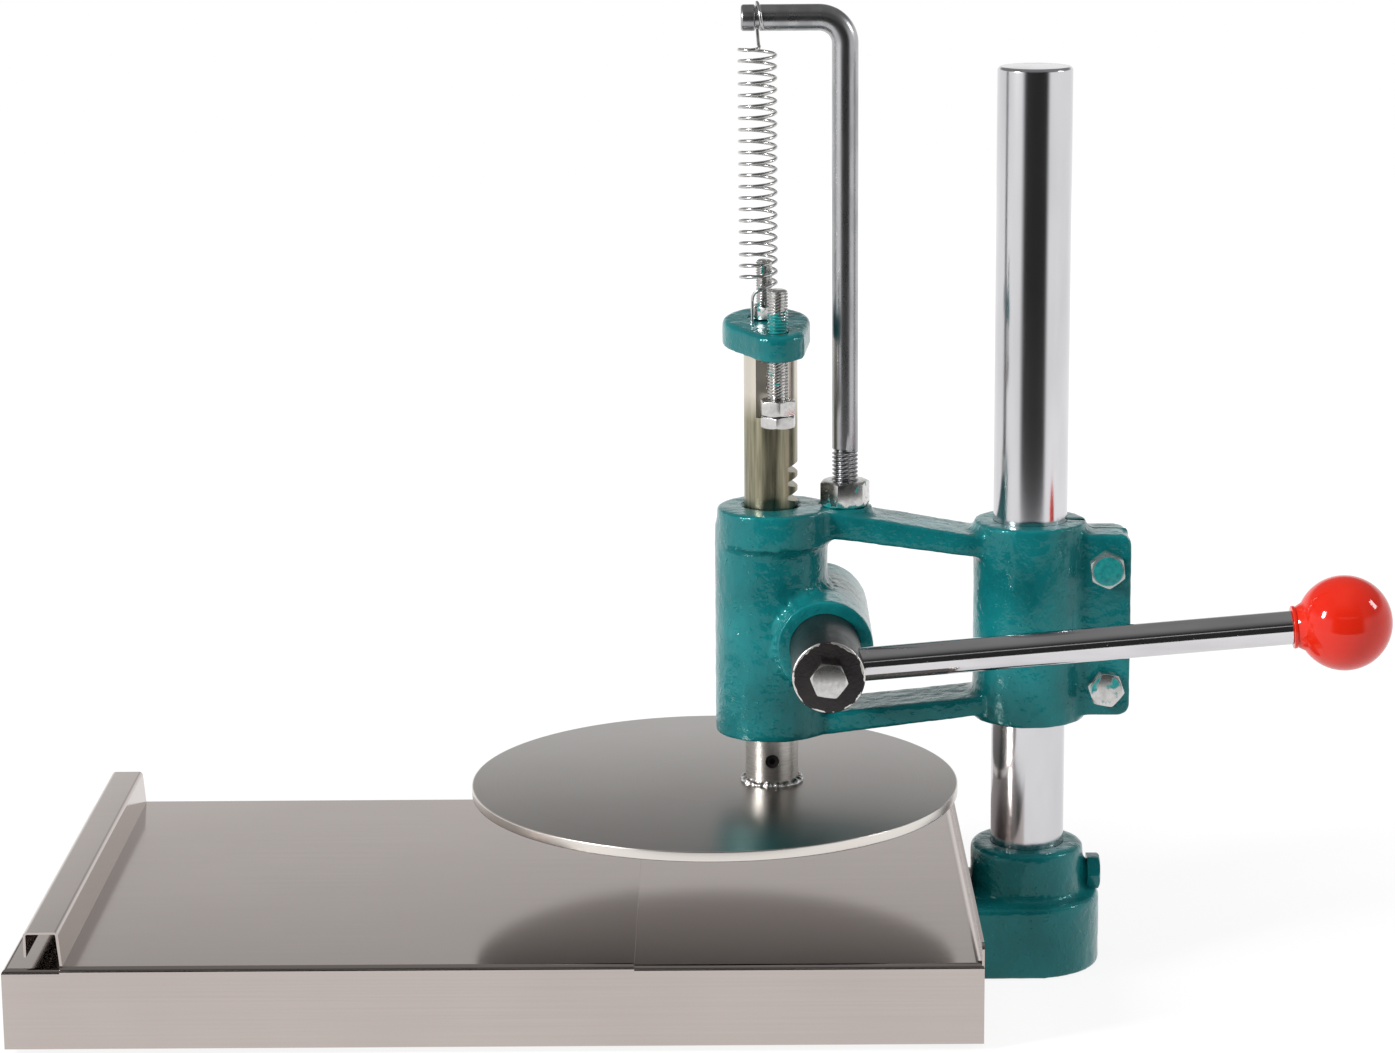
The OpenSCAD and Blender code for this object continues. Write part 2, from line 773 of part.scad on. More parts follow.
module clamp_washers() {
    color(zinc_colour) placed()
        for (z = clamp_bolt_zs)
            translate([clamp_bolt_x, back_ear_t + slit_w / 2, z]) to_back() difference() {
                cylinder(h = clamp_washer_t, r = clamp_washer_d / 2);
                translate([0, 0, -over]) cylinder(h = clamp_washer_t + 2 * over, r = m10_d / 2 + screw_fit);
            }
}

module clamp_nuts() {
    color(zinc_colour) placed()
        for (z = clamp_bolt_zs)
            translate([clamp_bolt_x, back_ear_t + slit_w / 2 + clamp_washer_t, z]) to_back()
                nut(m10_af, m10_nut, m10_d);
}

// Tooth spaces of the rack, cut from the side that faces the pinion, in x and z
module rack_spaces() {
    pitch_x = ram_x + ram_d / 2 - gear_module;
    root_x = pitch_x - root_share * gear_module;
    tip_x = ram_x + ram_d / 2 + over;
    slope = tan(pressure_angle);
    half = gear_pitch / 4 + backlash / 2;
    count = floor(rack_l / gear_pitch);
    first = -1;
    for (k = [first:first + count - 1]) {
        z = pinion_z - rack_drop + k * gear_pitch;
        low = half - (pitch_x - root_x) * slope;
        high = half + (tip_x - pitch_x) * slope;
        across(ram_d + 2 * over)
            polygon([[root_x, z - low], [tip_x, z - high], [tip_x, z + high], [root_x, z + low]]);
    }
}

module ram() {
    r = ram_d / 2;
    spigot_l = socket_h - spigot_gap;
    flat_z = ram_top - ram_flat_l;
    color(ram_colour) placed() difference() {
        union() {
            translate([ram_x, 0, ram_z]) cylinder(h = ram_top - ram_z, r = r);
            translate([ram_x, 0, ram_z - spigot_l]) cylinder(h = spigot_l + over, r = spigot_d / 2);
        }
        rack_spaces();
        translate([ram_x - ram_d, -ram_flat_y - ram_d, flat_z]) cube([2 * ram_d, ram_d, ram_top]);
        translate([ram_x - cap_stud_shift, 0, ram_top - cap_stud_in - over])
            cylinder(h = cap_stud_in + 2 * over, r = m8_d / 2 + screw_fit);
    }
}

module ram_cap() {
    r = cap_d / 2;
    lobe_r = lobe_d / 2;
    x = ram_x - cap_shift;
    color(paint_colour) placed() difference() {
        translate([x, 0, cap_z]) rotate([cap_tilt, 0, 0]) translate([0, 0, -cap_t / 2]) hull()
            for (a = cap_round_angles) {
                h = cap_t - cap_round + cap_round * sin(a);
                inset = cap_round * (1 - cos(a));
                cylinder(h = h, r = r - inset, $fn = 48);
                translate([stop_x - x, lobe_y, 0]) cylinder(h = h, r = lobe_r - inset, $fn = 32);
            }
        translate([ram_x, 0, ram_top - cap_t]) cylinder(h = cap_t, r = ram_d / 2 + screw_fit);
        translate([ram_x - cap_stud_shift, 0, ram_top - over])
            cylinder(h = 2 * cap_t, r = m8_d / 2 + screw_fit);
        translate([ram_x - cap_stud_shift, 0, cap_nut_z])
            cylinder(h = cap_t, r = m8_af / sqrt(3) + nut_seat_gap);
        translate([stop_x, stop_y, cap_z - cap_t]) cylinder(h = 2 * cap_t, r = m10_d / 2 + screw_fit);
        translate([spring_x + hook_x, hook_y, hook_low - wire_d])
            cylinder(h = cap_t, r = wire_d / 2 + hook_hole_gap);
    }
}

module cap_stud() {
    color(zinc_colour) placed() translate([ram_x - cap_stud_shift, 0, ram_top - cap_stud_in])
        thread(m8_d, m8_pitch, cap_stud_in + cap_stud_out);
}

module cap_nut() {
    color(zinc_colour) placed()
        translate([ram_x - cap_stud_shift, 0, cap_nut_z]) rotate([0, 0, cap_nut_turn])
        nut(m8_af, m8_nut, m8_d);
}

module stop_bolt() {
    color(zinc_colour) placed() translate([stop_x, stop_y, stop_nut_z])
        thread(m10_d, m10_pitch, stop_bolt_l);
}

module stop_nuts() {
    color(zinc_colour) placed()
        for (i = [0, 1])
            translate([stop_x, stop_y, stop_nut_zs[i]])
                rotate([0, 0, stop_nut_turns[i]]) nut(m10_af, stop_nut_hs[i], m10_d);
}

// The bent rod that the spring hangs from
module spring_hanger() {
    r = hanger_d / 2;
    x = ram_x + hanger_x;
    z0 = hanger_boss_z - hanger_seat;
    end_x = ram_x - hanger_end;
    color(chrome_colour) placed() difference() {
        union() {
            translate([x, 0, z0]) thread(hanger_d, hanger_pitch, hanger_seat + hanger_thread_l);
            translate([x, 0, z0 + hanger_seat + hanger_thread_l])
                cylinder(h = hanger_z - hanger_bend - z0 - hanger_seat - hanger_thread_l, r = r);
            translate([x - hanger_bend, 0, hanger_z - hanger_bend]) rotate([90, 0, 0])
                rotate_extrude(angle = 90) translate([hanger_bend, 0]) circle(r);
            translate([x - hanger_bend, 0, hanger_z]) rotate([0, -90, 0]) rotate_extrude()
                polygon([
                    [0, 0], [r, 0], [r, x - hanger_bend - end_x - hanger_bevel],
                    [r - hanger_bevel, x - hanger_bend - end_x], [0, x - hanger_bend - end_x]
                ]);
        }
        translate([end_x + groove_x, 0, hanger_z]) rotate([0, 90, 0]) difference() {
            cylinder(h = groove_w, r = r + over);
            translate([0, 0, -over]) cylinder(h = groove_w + 2 * over, r = r - groove_depth);
        }
    }
}

module hanger_nut() {
    color(zinc_colour) placed()
        translate([ram_x + hanger_x, 0, hanger_boss_z]) rotate([0, 0, hanger_nut_turn])
        nut(hanger_nut_af, hanger_nut_h, hanger_d);
}

// Points of one pinion tooth's two flanks, about the direction a
function tooth(a) =
    let (n = len(flank_radius_share) - 1)
    concat(
        [for (i = [0:n]) gear_point(i, a - flank_angle_share[i] * tooth_angle)],
        [for (i = [n:-1:0]) gear_point(i, a + flank_angle_share[i] * tooth_angle)]
    );
function gear_point(i, a) = (pitch_r + flank_radius_share[i] * gear_module) * [cos(a), sin(a)];

module pinion_shaft() {
    r = shaft_d / 2;
    front_l = -gear_half - pinion_y;
    mesh_turn = rack_drop / pitch_r * 180 / PI;
    teeth = [for (k = [0:pinion_teeth - 1]) each tooth(180 - mesh_turn + k * tooth_angle)];
    color(black_colour) placed() translate([pinion_x, 0, pinion_z]) difference() {
        to_back() union() {
            translate([0, 0, pinion_y]) rotate_extrude()
                polygon([[0, 0], [r - shaft_bevel, 0], [r, shaft_bevel], [r, front_l], [0, front_l]]);
            translate([0, 0, -gear_half]) linear_extrude(2 * gear_half) polygon(teeth);
            translate([0, 0, gear_half]) cylinder(h = journal_y - gear_half - run_fit, r = r);
            translate([0, 0, gear_half]) cylinder(h = boss_back + run_fit - gear_half, r = journal_d / 2);
        }
        translate([0, lever_y, 0]) rotate([0, 90 - lever_angle, 0])
            translate([0, 0, -lever_past - lever_hole_gap])
                cylinder(h = shaft_d, r = lever_d / 2 + screw_fit);
        translate([0, pinion_y - over, 0]) to_back()
            cylinder(h = lever_in + over, r = m10_d / 2 + screw_fit);
        translate([0, boss_back - pinion_bolt_l, 0]) to_back()
            cylinder(h = pinion_bolt_l + over, r = m10_d / 2 + screw_fit);
    }
}

module pinion_washer() {
    color(zinc_colour) placed() translate([pinion_x, boss_back + run_fit, pinion_z]) to_back()
        difference() {
            cylinder(h = washer_t, r = washer_d / 2);
            translate([0, 0, -over]) cylinder(h = washer_t + 2 * over, r = m10_d / 2 + screw_fit);
        }
}

module pinion_bolt() {
    color(zinc_colour) placed()
        translate([pinion_x, boss_back + run_fit + washer_t, pinion_z]) to_back()
            bolt(m10_af, m10_head, m10_d, pinion_bolt_l - over + washer_t);
}

module lever() {
    color(chrome_colour) placed()
        translate([pinion_x, lever_y, pinion_z]) rotate([0, 90 - lever_angle, 0]) {
        translate([0, 0, -lever_past]) cylinder(h = neck_at + lever_past, r = lever_d / 2);
        translate([0, 0, neck_at - over]) cylinder(h = stud_l + over, r = m10_d / 2);
    }
}

module knob() {
    color(red_colour) placed() translate([pinion_x, lever_y, pinion_z]) rotate([0, 90 - lever_angle, 0])
        difference() {
            union() {
                translate([0, 0, lever_reach]) sphere(d = knob_d);
                translate([0, 0, neck_at]) cylinder(h = neck_end + knob_neck_l, r = knob_neck_d / 2);
            }
            translate([0, 0, neck_at - over]) cylinder(h = stud_l + 2 * over, r = m10_d / 2 + screw_fit);
        }
}

module lever_clamp_bolt() {
    shank = lever_in - lever_d / 2 - screw_fit;
    color(zinc_colour) placed() translate([pinion_x, pinion_y, pinion_z]) rotate([90, clamp_turn, 0])
        bolt(m10_af, m10_head, m10_d, shank);
}

module press_disc() {
    r = disc_d / 2;
    color(steel_colour) placed() translate([disc_x, 0, disc_z]) rotate_extrude($fn = 144)
        polygon([
            [0, 0], [r - disc_edge, 0], [r, disc_edge],
            [r, disc_t - disc_edge], [r - disc_edge, disc_t], [0, disc_t]
        ]);
}

module disc_socket() {
    color(steel_colour) placed() difference() {
        translate([ram_x, 0, socket_z]) cylinder(h = socket_h, r = ram_d / 2);
        translate([ram_x, 0, socket_z - over])
            cylinder(h = socket_h + 2 * over, r = spigot_d / 2 + screw_fit);
        translate([ram_x, -ram_d, cross_hole_z]) to_back() cylinder(h = ram_d, r = grub_d / 2);
    }
}

module weld_bead() {
    r = ram_d / 2 + screw_fit;
    color(steel_colour) placed() translate([ram_x, 0, socket_z]) rotate_extrude()
        polygon(concat([[r, 0]], [for (a = bead_angles) [r + bead_w * cos(a), bead_h * sin(a)]]));
}

module socket_grub_screw() {
    color(zinc_colour) placed()
        translate([ram_x, -spigot_d / 2 - screw_fit, cross_hole_z]) rotate([90, 0, 0])
        difference() {
            cylinder(h = grub_l, r = grub_d / 2 - screw_fit);
            translate([0, 0, grub_l / 2]) cylinder(h = grub_l, r = grub_key / sqrt(3), $fn = 6);
        }
}

// The spring's line, from its lower end in the cap to its upper end below the hanger
loop_r = hanger_d / 2 + wire_d / 2 + hook_gap;
hook_low = cap_z + cap_t / 2 - hook_in;
lower_turn = atan2(hook_y, hook_x);
lower_r = norm([hook_x, hook_y]);
// Heights at which the coil's two ends run into their hooks' straight parts
lower_bend_z = coil_z - hook_drop;
upper_bend_z = coil_top + shank_rise;
loop_x = groove_x - hanger_end + groove_w / 2 + spring_shift;
shank_start = [
    spring_x + shank_r * cos(shank_turn),
    shank_r * sin(shank_turn),
    upper_bend_z
];
shank_drop = hanger_z - shank_start[2];
shank_span = norm([shank_start[1], shank_drop]);
loop_start = atan2(-shank_drop, shank_start[1]) + acos(loop_r / shank_span);
function loop_point(t) =
    let (a = loop_start + (loop_end - loop_start) * t)
    [spring_x + loop_x + loop_slant * max(0, t - 1 / 2) * 2, loop_r * cos(a), hanger_z + loop_r * sin(a)];
function lower_hook() = concat(
    [for (i = [0:3]) [spring_x + hook_x, hook_y, hook_low + (lower_bend_z - hook_low) * i / 4]],
    [for (i = [0:bend_rings - 1])
        let (t = 1 - i / bend_rings, a = lower_turn * (1 - pow(1 - t, 2)),
             r = coil_r + (lower_r - coil_r) * t)
        [spring_x + r * cos(a), r * sin(a),
         coil_z + (lower_bend_z - coil_z) * pow(t, 2) - coil_pitch / 4 * t * (1 - t)]]
);
function coil() = [for (i = [0:spring_turns * curl_rings])
    let (a = 360 * i / curl_rings)
    [spring_x + coil_r * cos(a), coil_r * sin(a), coil_z + coil_pitch * i / curl_rings]];
function upper_hook() = concat(
    [for (i = [1:bend_rings])
        let (t = i / bend_rings, a = 180 + (shank_turn - 180) * (1 - pow(1 - t, 2)),
             r = coil_r + (shank_r - coil_r) * t)
        [spring_x + r * cos(a), r * sin(a), coil_top + (upper_bend_z - coil_top) * pow(t, 2)]],
    [for (i = [1:3]) shank_start + (loop_point(0) - shank_start) * i / 4],
    [for (i = [0:loop_rings]) loop_point(i / loop_rings)]
);
function spring_line() = concat(lower_hook(), coil(), upper_hook());

function unit(v) = v / norm(v);
function swept(n, t) = unit(n - (n * t) * t);

// A tube of diameter d along the points p, its rings turned as little as they can be
module tube(p, d, sides) {
    last = len(p) - 1;
    t = [for (i = [0:last]) unit(p[min(i + 1, last)] - p[max(i - 1, 0)])];
    n = [for (i = 0, v = swept([1, 0, 0], t[0]); i <= last; i = i + 1, v = swept(v, t[min(i, last)])) v];
    points = [for (i = [0:last], j = [0:sides - 1])
        let (a = 360 * j / sides)
        p[i] + d / 2 * (cos(a) * n[i] + sin(a) * cross(t[i], n[i]))];
    walls = [for (i = [0:last - 1], j = [0:sides - 1])
        let (a = i * sides + j, b = i * sides + (j + 1) % sides)
        each [[a, b + sides, b], [a, a + sides, b + sides]]];
    ends = [for (j = [1:sides - 2]) each
            [[0, j, j + 1], [last * sides, last * sides + j + 1, last * sides + j]]];
    polyhedron(points = points, faces = concat(walls, ends));
}

// Least gap between stretches of the wire that aren't neighbours
function least_gap(p, d, skip) = min([
    for (i = [0:len(p) - 1 - skip]) min([for (j = [i + skip:len(p) - 1]) norm(p[i] - p[j])])
]) - d;

module return_spring() {
    line = spring_line();
    echo(least_gap_of_spring_wire = least_gap(line, wire_d, 6));
    color(zinc_colour) placed() tube(line, wire_d, wire_sides);
}

chassis();
base_feet();
tray();
column_socket();
socket_bolts();
socket_set_bolt();
pole();
head_casting();
clamp_bolts();
clamp_washers();
clamp_nuts();
ram();
ram_cap();
cap_stud();
cap_nut();
stop_bolt();
stop_nuts();
return_spring();
spring_hanger();
hanger_nut();
pinion_shaft();
pinion_washer();
pinion_bolt();
lever();
knob();
lever_clamp_bolt();
press_disc();
disc_socket();
weld_bead();
socket_grub_screw();
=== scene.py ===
# %% [markdown]
# # A hand cranked dough press, dressed in Blender
#
# This lesson puts a real surface on a bench press for dough. A lever turns a pinion, the pinion
# drives a toothed ram down, and the ram pushes a round disc over a sheet steel base.
#
# The machine's solids come packed from CAD as a fixed frame, in metres, with +Z up. Each piece made
# here sits where its solid says, and all but the spring ride on that solid's body, and so follow
# every joint.

import json
from math import acos, atan2, cos, degrees, hypot, pi, radians, sin, sqrt, tan

import bmesh
import bpy
import numpy as np
from mathutils import Matrix, Vector, noise


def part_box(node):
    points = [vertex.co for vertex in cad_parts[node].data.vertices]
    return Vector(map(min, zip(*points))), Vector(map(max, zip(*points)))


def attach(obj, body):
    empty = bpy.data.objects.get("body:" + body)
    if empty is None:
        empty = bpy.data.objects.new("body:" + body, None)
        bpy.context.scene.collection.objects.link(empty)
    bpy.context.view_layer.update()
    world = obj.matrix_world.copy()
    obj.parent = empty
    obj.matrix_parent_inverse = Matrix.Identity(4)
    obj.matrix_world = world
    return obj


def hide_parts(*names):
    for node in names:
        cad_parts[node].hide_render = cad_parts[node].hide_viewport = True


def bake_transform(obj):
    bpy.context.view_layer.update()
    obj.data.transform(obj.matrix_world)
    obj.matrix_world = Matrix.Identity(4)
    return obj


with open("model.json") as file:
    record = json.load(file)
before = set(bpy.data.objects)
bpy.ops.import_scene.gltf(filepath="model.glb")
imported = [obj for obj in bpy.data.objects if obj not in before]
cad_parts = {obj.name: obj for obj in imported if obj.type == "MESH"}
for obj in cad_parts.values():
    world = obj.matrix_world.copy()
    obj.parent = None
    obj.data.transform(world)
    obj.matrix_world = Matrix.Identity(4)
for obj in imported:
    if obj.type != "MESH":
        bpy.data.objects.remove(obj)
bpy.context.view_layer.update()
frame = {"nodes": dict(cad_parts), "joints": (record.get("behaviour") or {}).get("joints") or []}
MM = 0.001

# %% [markdown]
# ## The camera
#
# A photograph's view is a place, three angles and a lens. The lens is written in pixels first, as
# a camera is measured, and turned into Blender's millimetres for a sensor 36 mm wide. The roll is
# small but it shows on a tall column, so the camera's axes are built as vectors.

# %% Camera
PHOTO_WIDTH, SENSOR_WIDTH = 1395, 36
LENS_PIXELS = 3782.7
CAMERA_AT = Vector((9.9, -1802.1, 618.7)) * MM
PITCH, YAW, ROLL = 0.217258, -0.006174, -0.007919


def placed(name, data):
    """A new object with this data, linked into the scene."""
    made = bpy.data.objects.new(name, data)
    bpy.context.scene.collection.objects.link(made)
    return made


ahead = Vector((sin(YAW) * cos(PITCH), cos(YAW) * cos(PITCH), -sin(PITCH)))
right = Vector((cos(YAW), -sin(YAW), 0))
above = right.cross(ahead)
rolled_right = right * cos(ROLL) + above * sin(ROLL)
rolled_above = above * cos(ROLL) - right * sin(ROLL)

lens = bpy.data.cameras.new("camera")
lens.sensor_width = SENSOR_WIDTH
lens.lens = LENS_PIXELS / PHOTO_WIDTH * SENSOR_WIDTH
camera = placed("camera", lens)
axes = Matrix((rolled_right, rolled_above, -ahead)).transposed()
camera.matrix_world = Matrix.Translation(CAMERA_AT) @ axes.to_4x4()
bpy.context.scene.camera = camera
bpy.context.scene.view_settings.view_transform = "Standard"
print("lens, mm:", round(lens.lens, 2))

# %% [markdown]
# ## Colour and nodes
#
# Colours are picked as sRGB hex codes, but a shader works in linear light, so one function turns
# one into the other. Another adds a node of any kind to the tree that is being built. Its inputs
# may be numbers, hex colours, sockets, or other nodes, whose result is then linked in. The few
# kinds of node that every finish needs get a short name of their own.

# %% Colour and node helpers
def linear(code):
    """Turns an sRGB hex code into the linear colour that a shader works in."""
    parts = [int(code[i:i + 2], 16) / 255 for i in (1, 3, 5)]
    return [p / 12.92 if p <= 0.04045 else ((p + 0.055) / 1.055) ** 2.4 for p in parts] + [1]


def begin(new_tree):
    """Empties a node tree. All nodes go into it until another one is begun."""
    global tree
    tree = new_tree
    tree.nodes.clear()


def add(kind, inputs=None, **settings):
    """Adds one shader node with its settings, and sets or links its inputs."""
    node = tree.nodes.new("ShaderNode" + kind)
    for name, value in settings.items():
        setattr(node, name, value)
    for name, value in (inputs or {}).items():
        if isinstance(value, bpy.types.Node):
            value = next(output for output in value.outputs if not output.is_unavailable)
        if isinstance(value, bpy.types.NodeSocket):
            tree.links.new(value, node.inputs[name])
        else:
            node.inputs[name].default_value = linear(value) if isinstance(value, str) else value
    return node


def maths(operation, *values, kind="Math", **settings):
    """One calculation on one or two values. VectorMath is the kind for vectors."""
    return add(kind, dict(enumerate(values)), operation=operation, **settings)


def ramp(value, start, end, low=0.0, high=1.0, shape="LINEAR"):
    """Goes from low to high while a value goes from start to end, and is level beyond them."""
    inputs = {"Value": value, 1: start, 2: end, 3: low, 4: high}
    return add("MapRange", inputs, interpolation_type=shape)


def mixed(share, one, other):
    """One colour where share is 0 and the other where it is 1."""
    return add("Mix", {0: share, 6: one, 7: other}, data_type="RGBA")


def mixed_values(share, one, other):
    """One number where share is 0 and the other where it is 1."""
    return add("Mix", {0: share, 2: one, 3: other}, data_type="FLOAT")


def along(place, axis):
    """One coordinate of a place."""
    return add("SeparateXYZ", {0: place}).outputs[axis]


def start(name):
    """A new material, and its coordinates in metres."""
    made = bpy.data.materials.new(name)
    made.use_nodes = True
    begin(made.node_tree)
    print("finish:", name)
    return made, add("TexCoord").outputs["Object"]


def shown_rays():
    """1 for rays that show a thing, in the picture or in metal and glass, and 0 for the rest."""
    ray = add("LightPath").outputs
    seen = maths("ADD", ray["Is Camera Ray"], ray["Is Glossy Ray"])
    return maths("ADD", seen, ray["Is Transmission Ray"], use_clamp=True)


# %% [markdown]
# ## Light, floor and background
#
# Polished steel shows its room more than itself, so the room matters most here. The press stands
# on a white table that ends a little way in front of it. Behind it and beside it is white, which
# greys towards the ceiling, and the front of the room is dark but for one thin lamp. That dark
# front is the black stripe down the column, and the thin lamp is the bright line along the lever.
#
# The world gives matt surfaces one plain even level, so what it shows is set apart from what it
# lights, by the kind of ray. For the camera it is white. For shiny surfaces it is the room, which
# is worked out from the direction they look in: +Y is behind the press and +Z is up.

# %% World
# Heights are sines of the angle above the horizon. Fronts are level directions, from 1 straight
# behind the press to -1 straight in front of it.
EVEN_LIGHT = 0.20
WHITE_BELOW, GREY_ABOVE, CEILING = 0.20, 0.42, 0.26
DARK_BELOW, DARK_TONE = 0.5, 0.03
LAMP_FOOT, LAMP_TOP, LAMP_TONE, LAMP_FRONT = (0.37, 0.40), (0.43, 0.46), 0.55, (-0.95, -0.88)
DARK_FRONT = (-0.86, -0.70)

world = bpy.data.worlds.new("studio")
world.use_nodes = True
bpy.context.scene.world = world
begin(world.node_tree)

toward = add("TexCoord").outputs["Generated"]
up = along(toward, "Z")
level = maths("MULTIPLY", toward, (1, 1, 0), kind="VectorMath")
level_y = along(maths("NORMALIZE", level, kind="VectorMath"), "Y")

sweep = ramp(up, WHITE_BELOW, GREY_ABOVE, 1.0, CEILING, "SMOOTHSTEP")
dark = ramp(up, DARK_BELOW, 1.0, DARK_TONE, CEILING, "SMOOTHSTEP")
lamp_low = ramp(up, *LAMP_FOOT, shape="SMOOTHSTEP")
lamp_high = ramp(up, *LAMP_TOP, LAMP_TONE, 0.0, "SMOOTHSTEP")
lamp_wide = ramp(level_y, *LAMP_FRONT, 1.0, 0.0)
thin_lamp = maths("MULTIPLY", maths("MULTIPLY", lamp_low, lamp_high), lamp_wide)
dark = maths("ADD", dark, thin_lamp)
in_front = ramp(level_y, *DARK_FRONT, 1.0, 0.0, "SMOOTHSTEP")
room = mixed_values(in_front, sweep, dark)
room = mixed_values(add("LightPath").outputs["Is Camera Ray"], room, 1.0)

lit = add("Background", {"Color": "#FFFFFF", "Strength": EVEN_LIGHT})
shown = add("Background", {"Color": "#FFFFFF", "Strength": room})
surface = add("MixShader", {0: shown_rays(), 1: lit, 2: shown})
add("OutputWorld", {"Surface": surface})
world.cycles.sampling_method = "NONE"
print("world light:", EVEN_LIGHT)

# %% Soft boxes
LIT_AT = Vector((0.03, 0, 0.2))


def soft_box(name, toward_it, distance, size, power, in_reflections=True):
    """A rectangular lamp at a distance from the press, turned to face it."""
    lamp = bpy.data.lights.new(name, "AREA")
    lamp.shape = "RECTANGLE"
    lamp.size, lamp.size_y = size
    lamp.energy = power
    made = placed(name, lamp)
    made.location = LIT_AT + Vector(toward_it).normalized() * distance
    made.rotation_euler = Vector(toward_it).to_track_quat("Z", "Y").to_euler()
    made.visible_glossy = in_reflections


soft_box("left_soft_box", (-0.78, -0.45, 0.43), 2.2, (0.32, 0.55), 40)
soft_box("right_soft_box", (0.87, -0.05, 0.50), 2.2, (0.34, 0.55), 9)
soft_box("overhead_cloth", (0.05, -0.25, 1), 2.0, (1.6, 1.6), 11, in_reflections=False)

# %% Floor
# The table is pale and takes the press's shadow near it, and fades to plain white further out.
TABLE_FRONT, TABLE_BACK, TABLE_SIDE, TABLE_TOP = -0.80, 3.0, 3.0, -0.0002
SHADOW_NEAR, SHADOW_FAR = 0.25, 0.75
SHADOW_SHARE, TABLE_WHITE = 0.20, 1.08


def mesh_from(work, name):
    """A new mesh from finished work."""
    mesh = bpy.data.meshes.new(name)
    work.to_mesh(mesh)
    work.free()
    return mesh


edge = bmesh.new()
for x, y in ((-TABLE_SIDE, TABLE_FRONT), (TABLE_SIDE, TABLE_FRONT),
             (TABLE_SIDE, TABLE_BACK), (-TABLE_SIDE, TABLE_BACK)):
    edge.verts.new((x, y, TABLE_TOP))
edge.faces.new(edge.verts)
mesh = mesh_from(edge, "table")
table = placed("table", mesh)

pale_table, place = start("pale_table")
away = maths("LENGTH", place, kind="VectorMath")
fade = ramp(away, SHADOW_NEAR, SHADOW_FAR, 1 - SHADOW_SHARE, 1.0, "SMOOTHSTEP")
fade = maths("MULTIPLY", fade, shown_rays())
matt = add("BsdfPrincipled", {"Base Color": "#F4F4F4", "Roughness": 0.9})
white = add("Emission", {"Color": "#FFFFFF", "Strength": TABLE_WHITE})
add("OutputMaterial", {"Surface": add("MixShader", {0: fade, 1: matt, 2: white})})
mesh.materials.append(pale_table)
print("table:", len(mesh.polygons), "face")


# %% [markdown]
# ## Finishes
#
# Each material starts from what the real one is. All of them place their patterns by the object's
# own coordinates, which are metres in the machine's frame, so a pattern's size is a real size.

# %% Helpers for a finish
def close(inputs):
    """Ends a material with one Principled shader that has these inputs."""
    add("OutputMaterial", {"Surface": add("BsdfPrincipled", inputs)})


def patches(place, size, low=0.3, high=0.7, stretch=(1, 1, 1), detail=3.0):
    """Noise in patches of a size in mm, stretched along an axis: 0 below low and 1 above high."""
    scale = [1 / (size * MM) / s for s in stretch]
    scaled = add("Mapping", {"Vector": place, "Scale": scale})
    cloud = add("TexNoise", {"Vector": scaled, "Scale": 1.0, "Detail": detail})
    return ramp(cloud, low, high)


def bumps(height, strength, depth, over=None, **settings):
    """Raises a surface by a height map, at most this many mm deep, over any bumps below it."""
    inputs = {"Strength": strength, "Distance": depth * MM, "Height": height}
    return add("Bump", inputs | ({"Normal": over} if over else {}), **settings)


def metal(colour, share, roughness, **more):
    """Ends a bare metal, whose roughness goes from one value to another with a share."""
    close({"Base Color": colour, "Metallic": 1.0,
           "Roughness": ramp(share, 0, 1, *roughness), **more})


def plain(name, size, tones, roughness, metallic=1.0, bump=None, gloss=None, **pattern):
    """A finish whose colour and roughness go from one value to another in patches. Its bump is
    the size, the strength and the depth of a finer grain."""
    made, place = start(name)
    patch = patches(place, size, **pattern)
    inputs = {"Base Color": mixed(patch, *tones), "Metallic": metallic,
              "Roughness": ramp(patch, 0, 1, *roughness)}
    if bump:
        inputs["Normal"] = bumps(patches(place, bump[0]), *bump[1:])
    if gloss:
        inputs["Specular IOR Level"] = gloss
    close(inputs)
    return made


# %% [markdown]
# ### Satin stainless sheet
# Cold rolled stainless with a fine satin finish, folded from 1.2 mm sheet. The eye gets a soft,
# wide reflection with a faint warm tint and hardly any grain. The real grit lines are under 0.1 mm
# apart, so they are drawn at 0.9 mm, and only just show.

# %% Stainless
satin_stainless, place = start("satin_stainless")
grain = patches(place, 0.9, stretch=(140, 1, 1))
tone = mixed(patches(place, 90), "#BAB0AB", "#BFB5B0")
tone = mixed(maths("MULTIPLY", grain, 0.16), tone, "#A89E99")
metal(tone, grain, (0.12, 0.15), Normal=bumps(grain, 0.012, 0.1))

# %% [markdown]
# ### Turned disc
# The disc is thicker stainless, ground in circles round its middle, so its grain is rings, drawn
# from the distance to that middle. Its rim has a painted highlight, a bright band at its edge. Its
# underside is painted dark as painted shade, which is what the tray mirrors.

# %% Disc
disc_low, disc_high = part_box("press_disc")
disc_middle = (disc_low + disc_high) / 2
disc_radius = (disc_high.x - disc_low.x) / 2


def from_axis(place, centre, plane):
    """The distance in metres from an axis through centre, across the plane's directions."""
    arm = maths("SUBTRACT", place, centre, kind="VectorMath")
    flat = maths("MULTIPLY", arm, plane, kind="VectorMath")
    return maths("LENGTH", flat, kind="VectorMath")


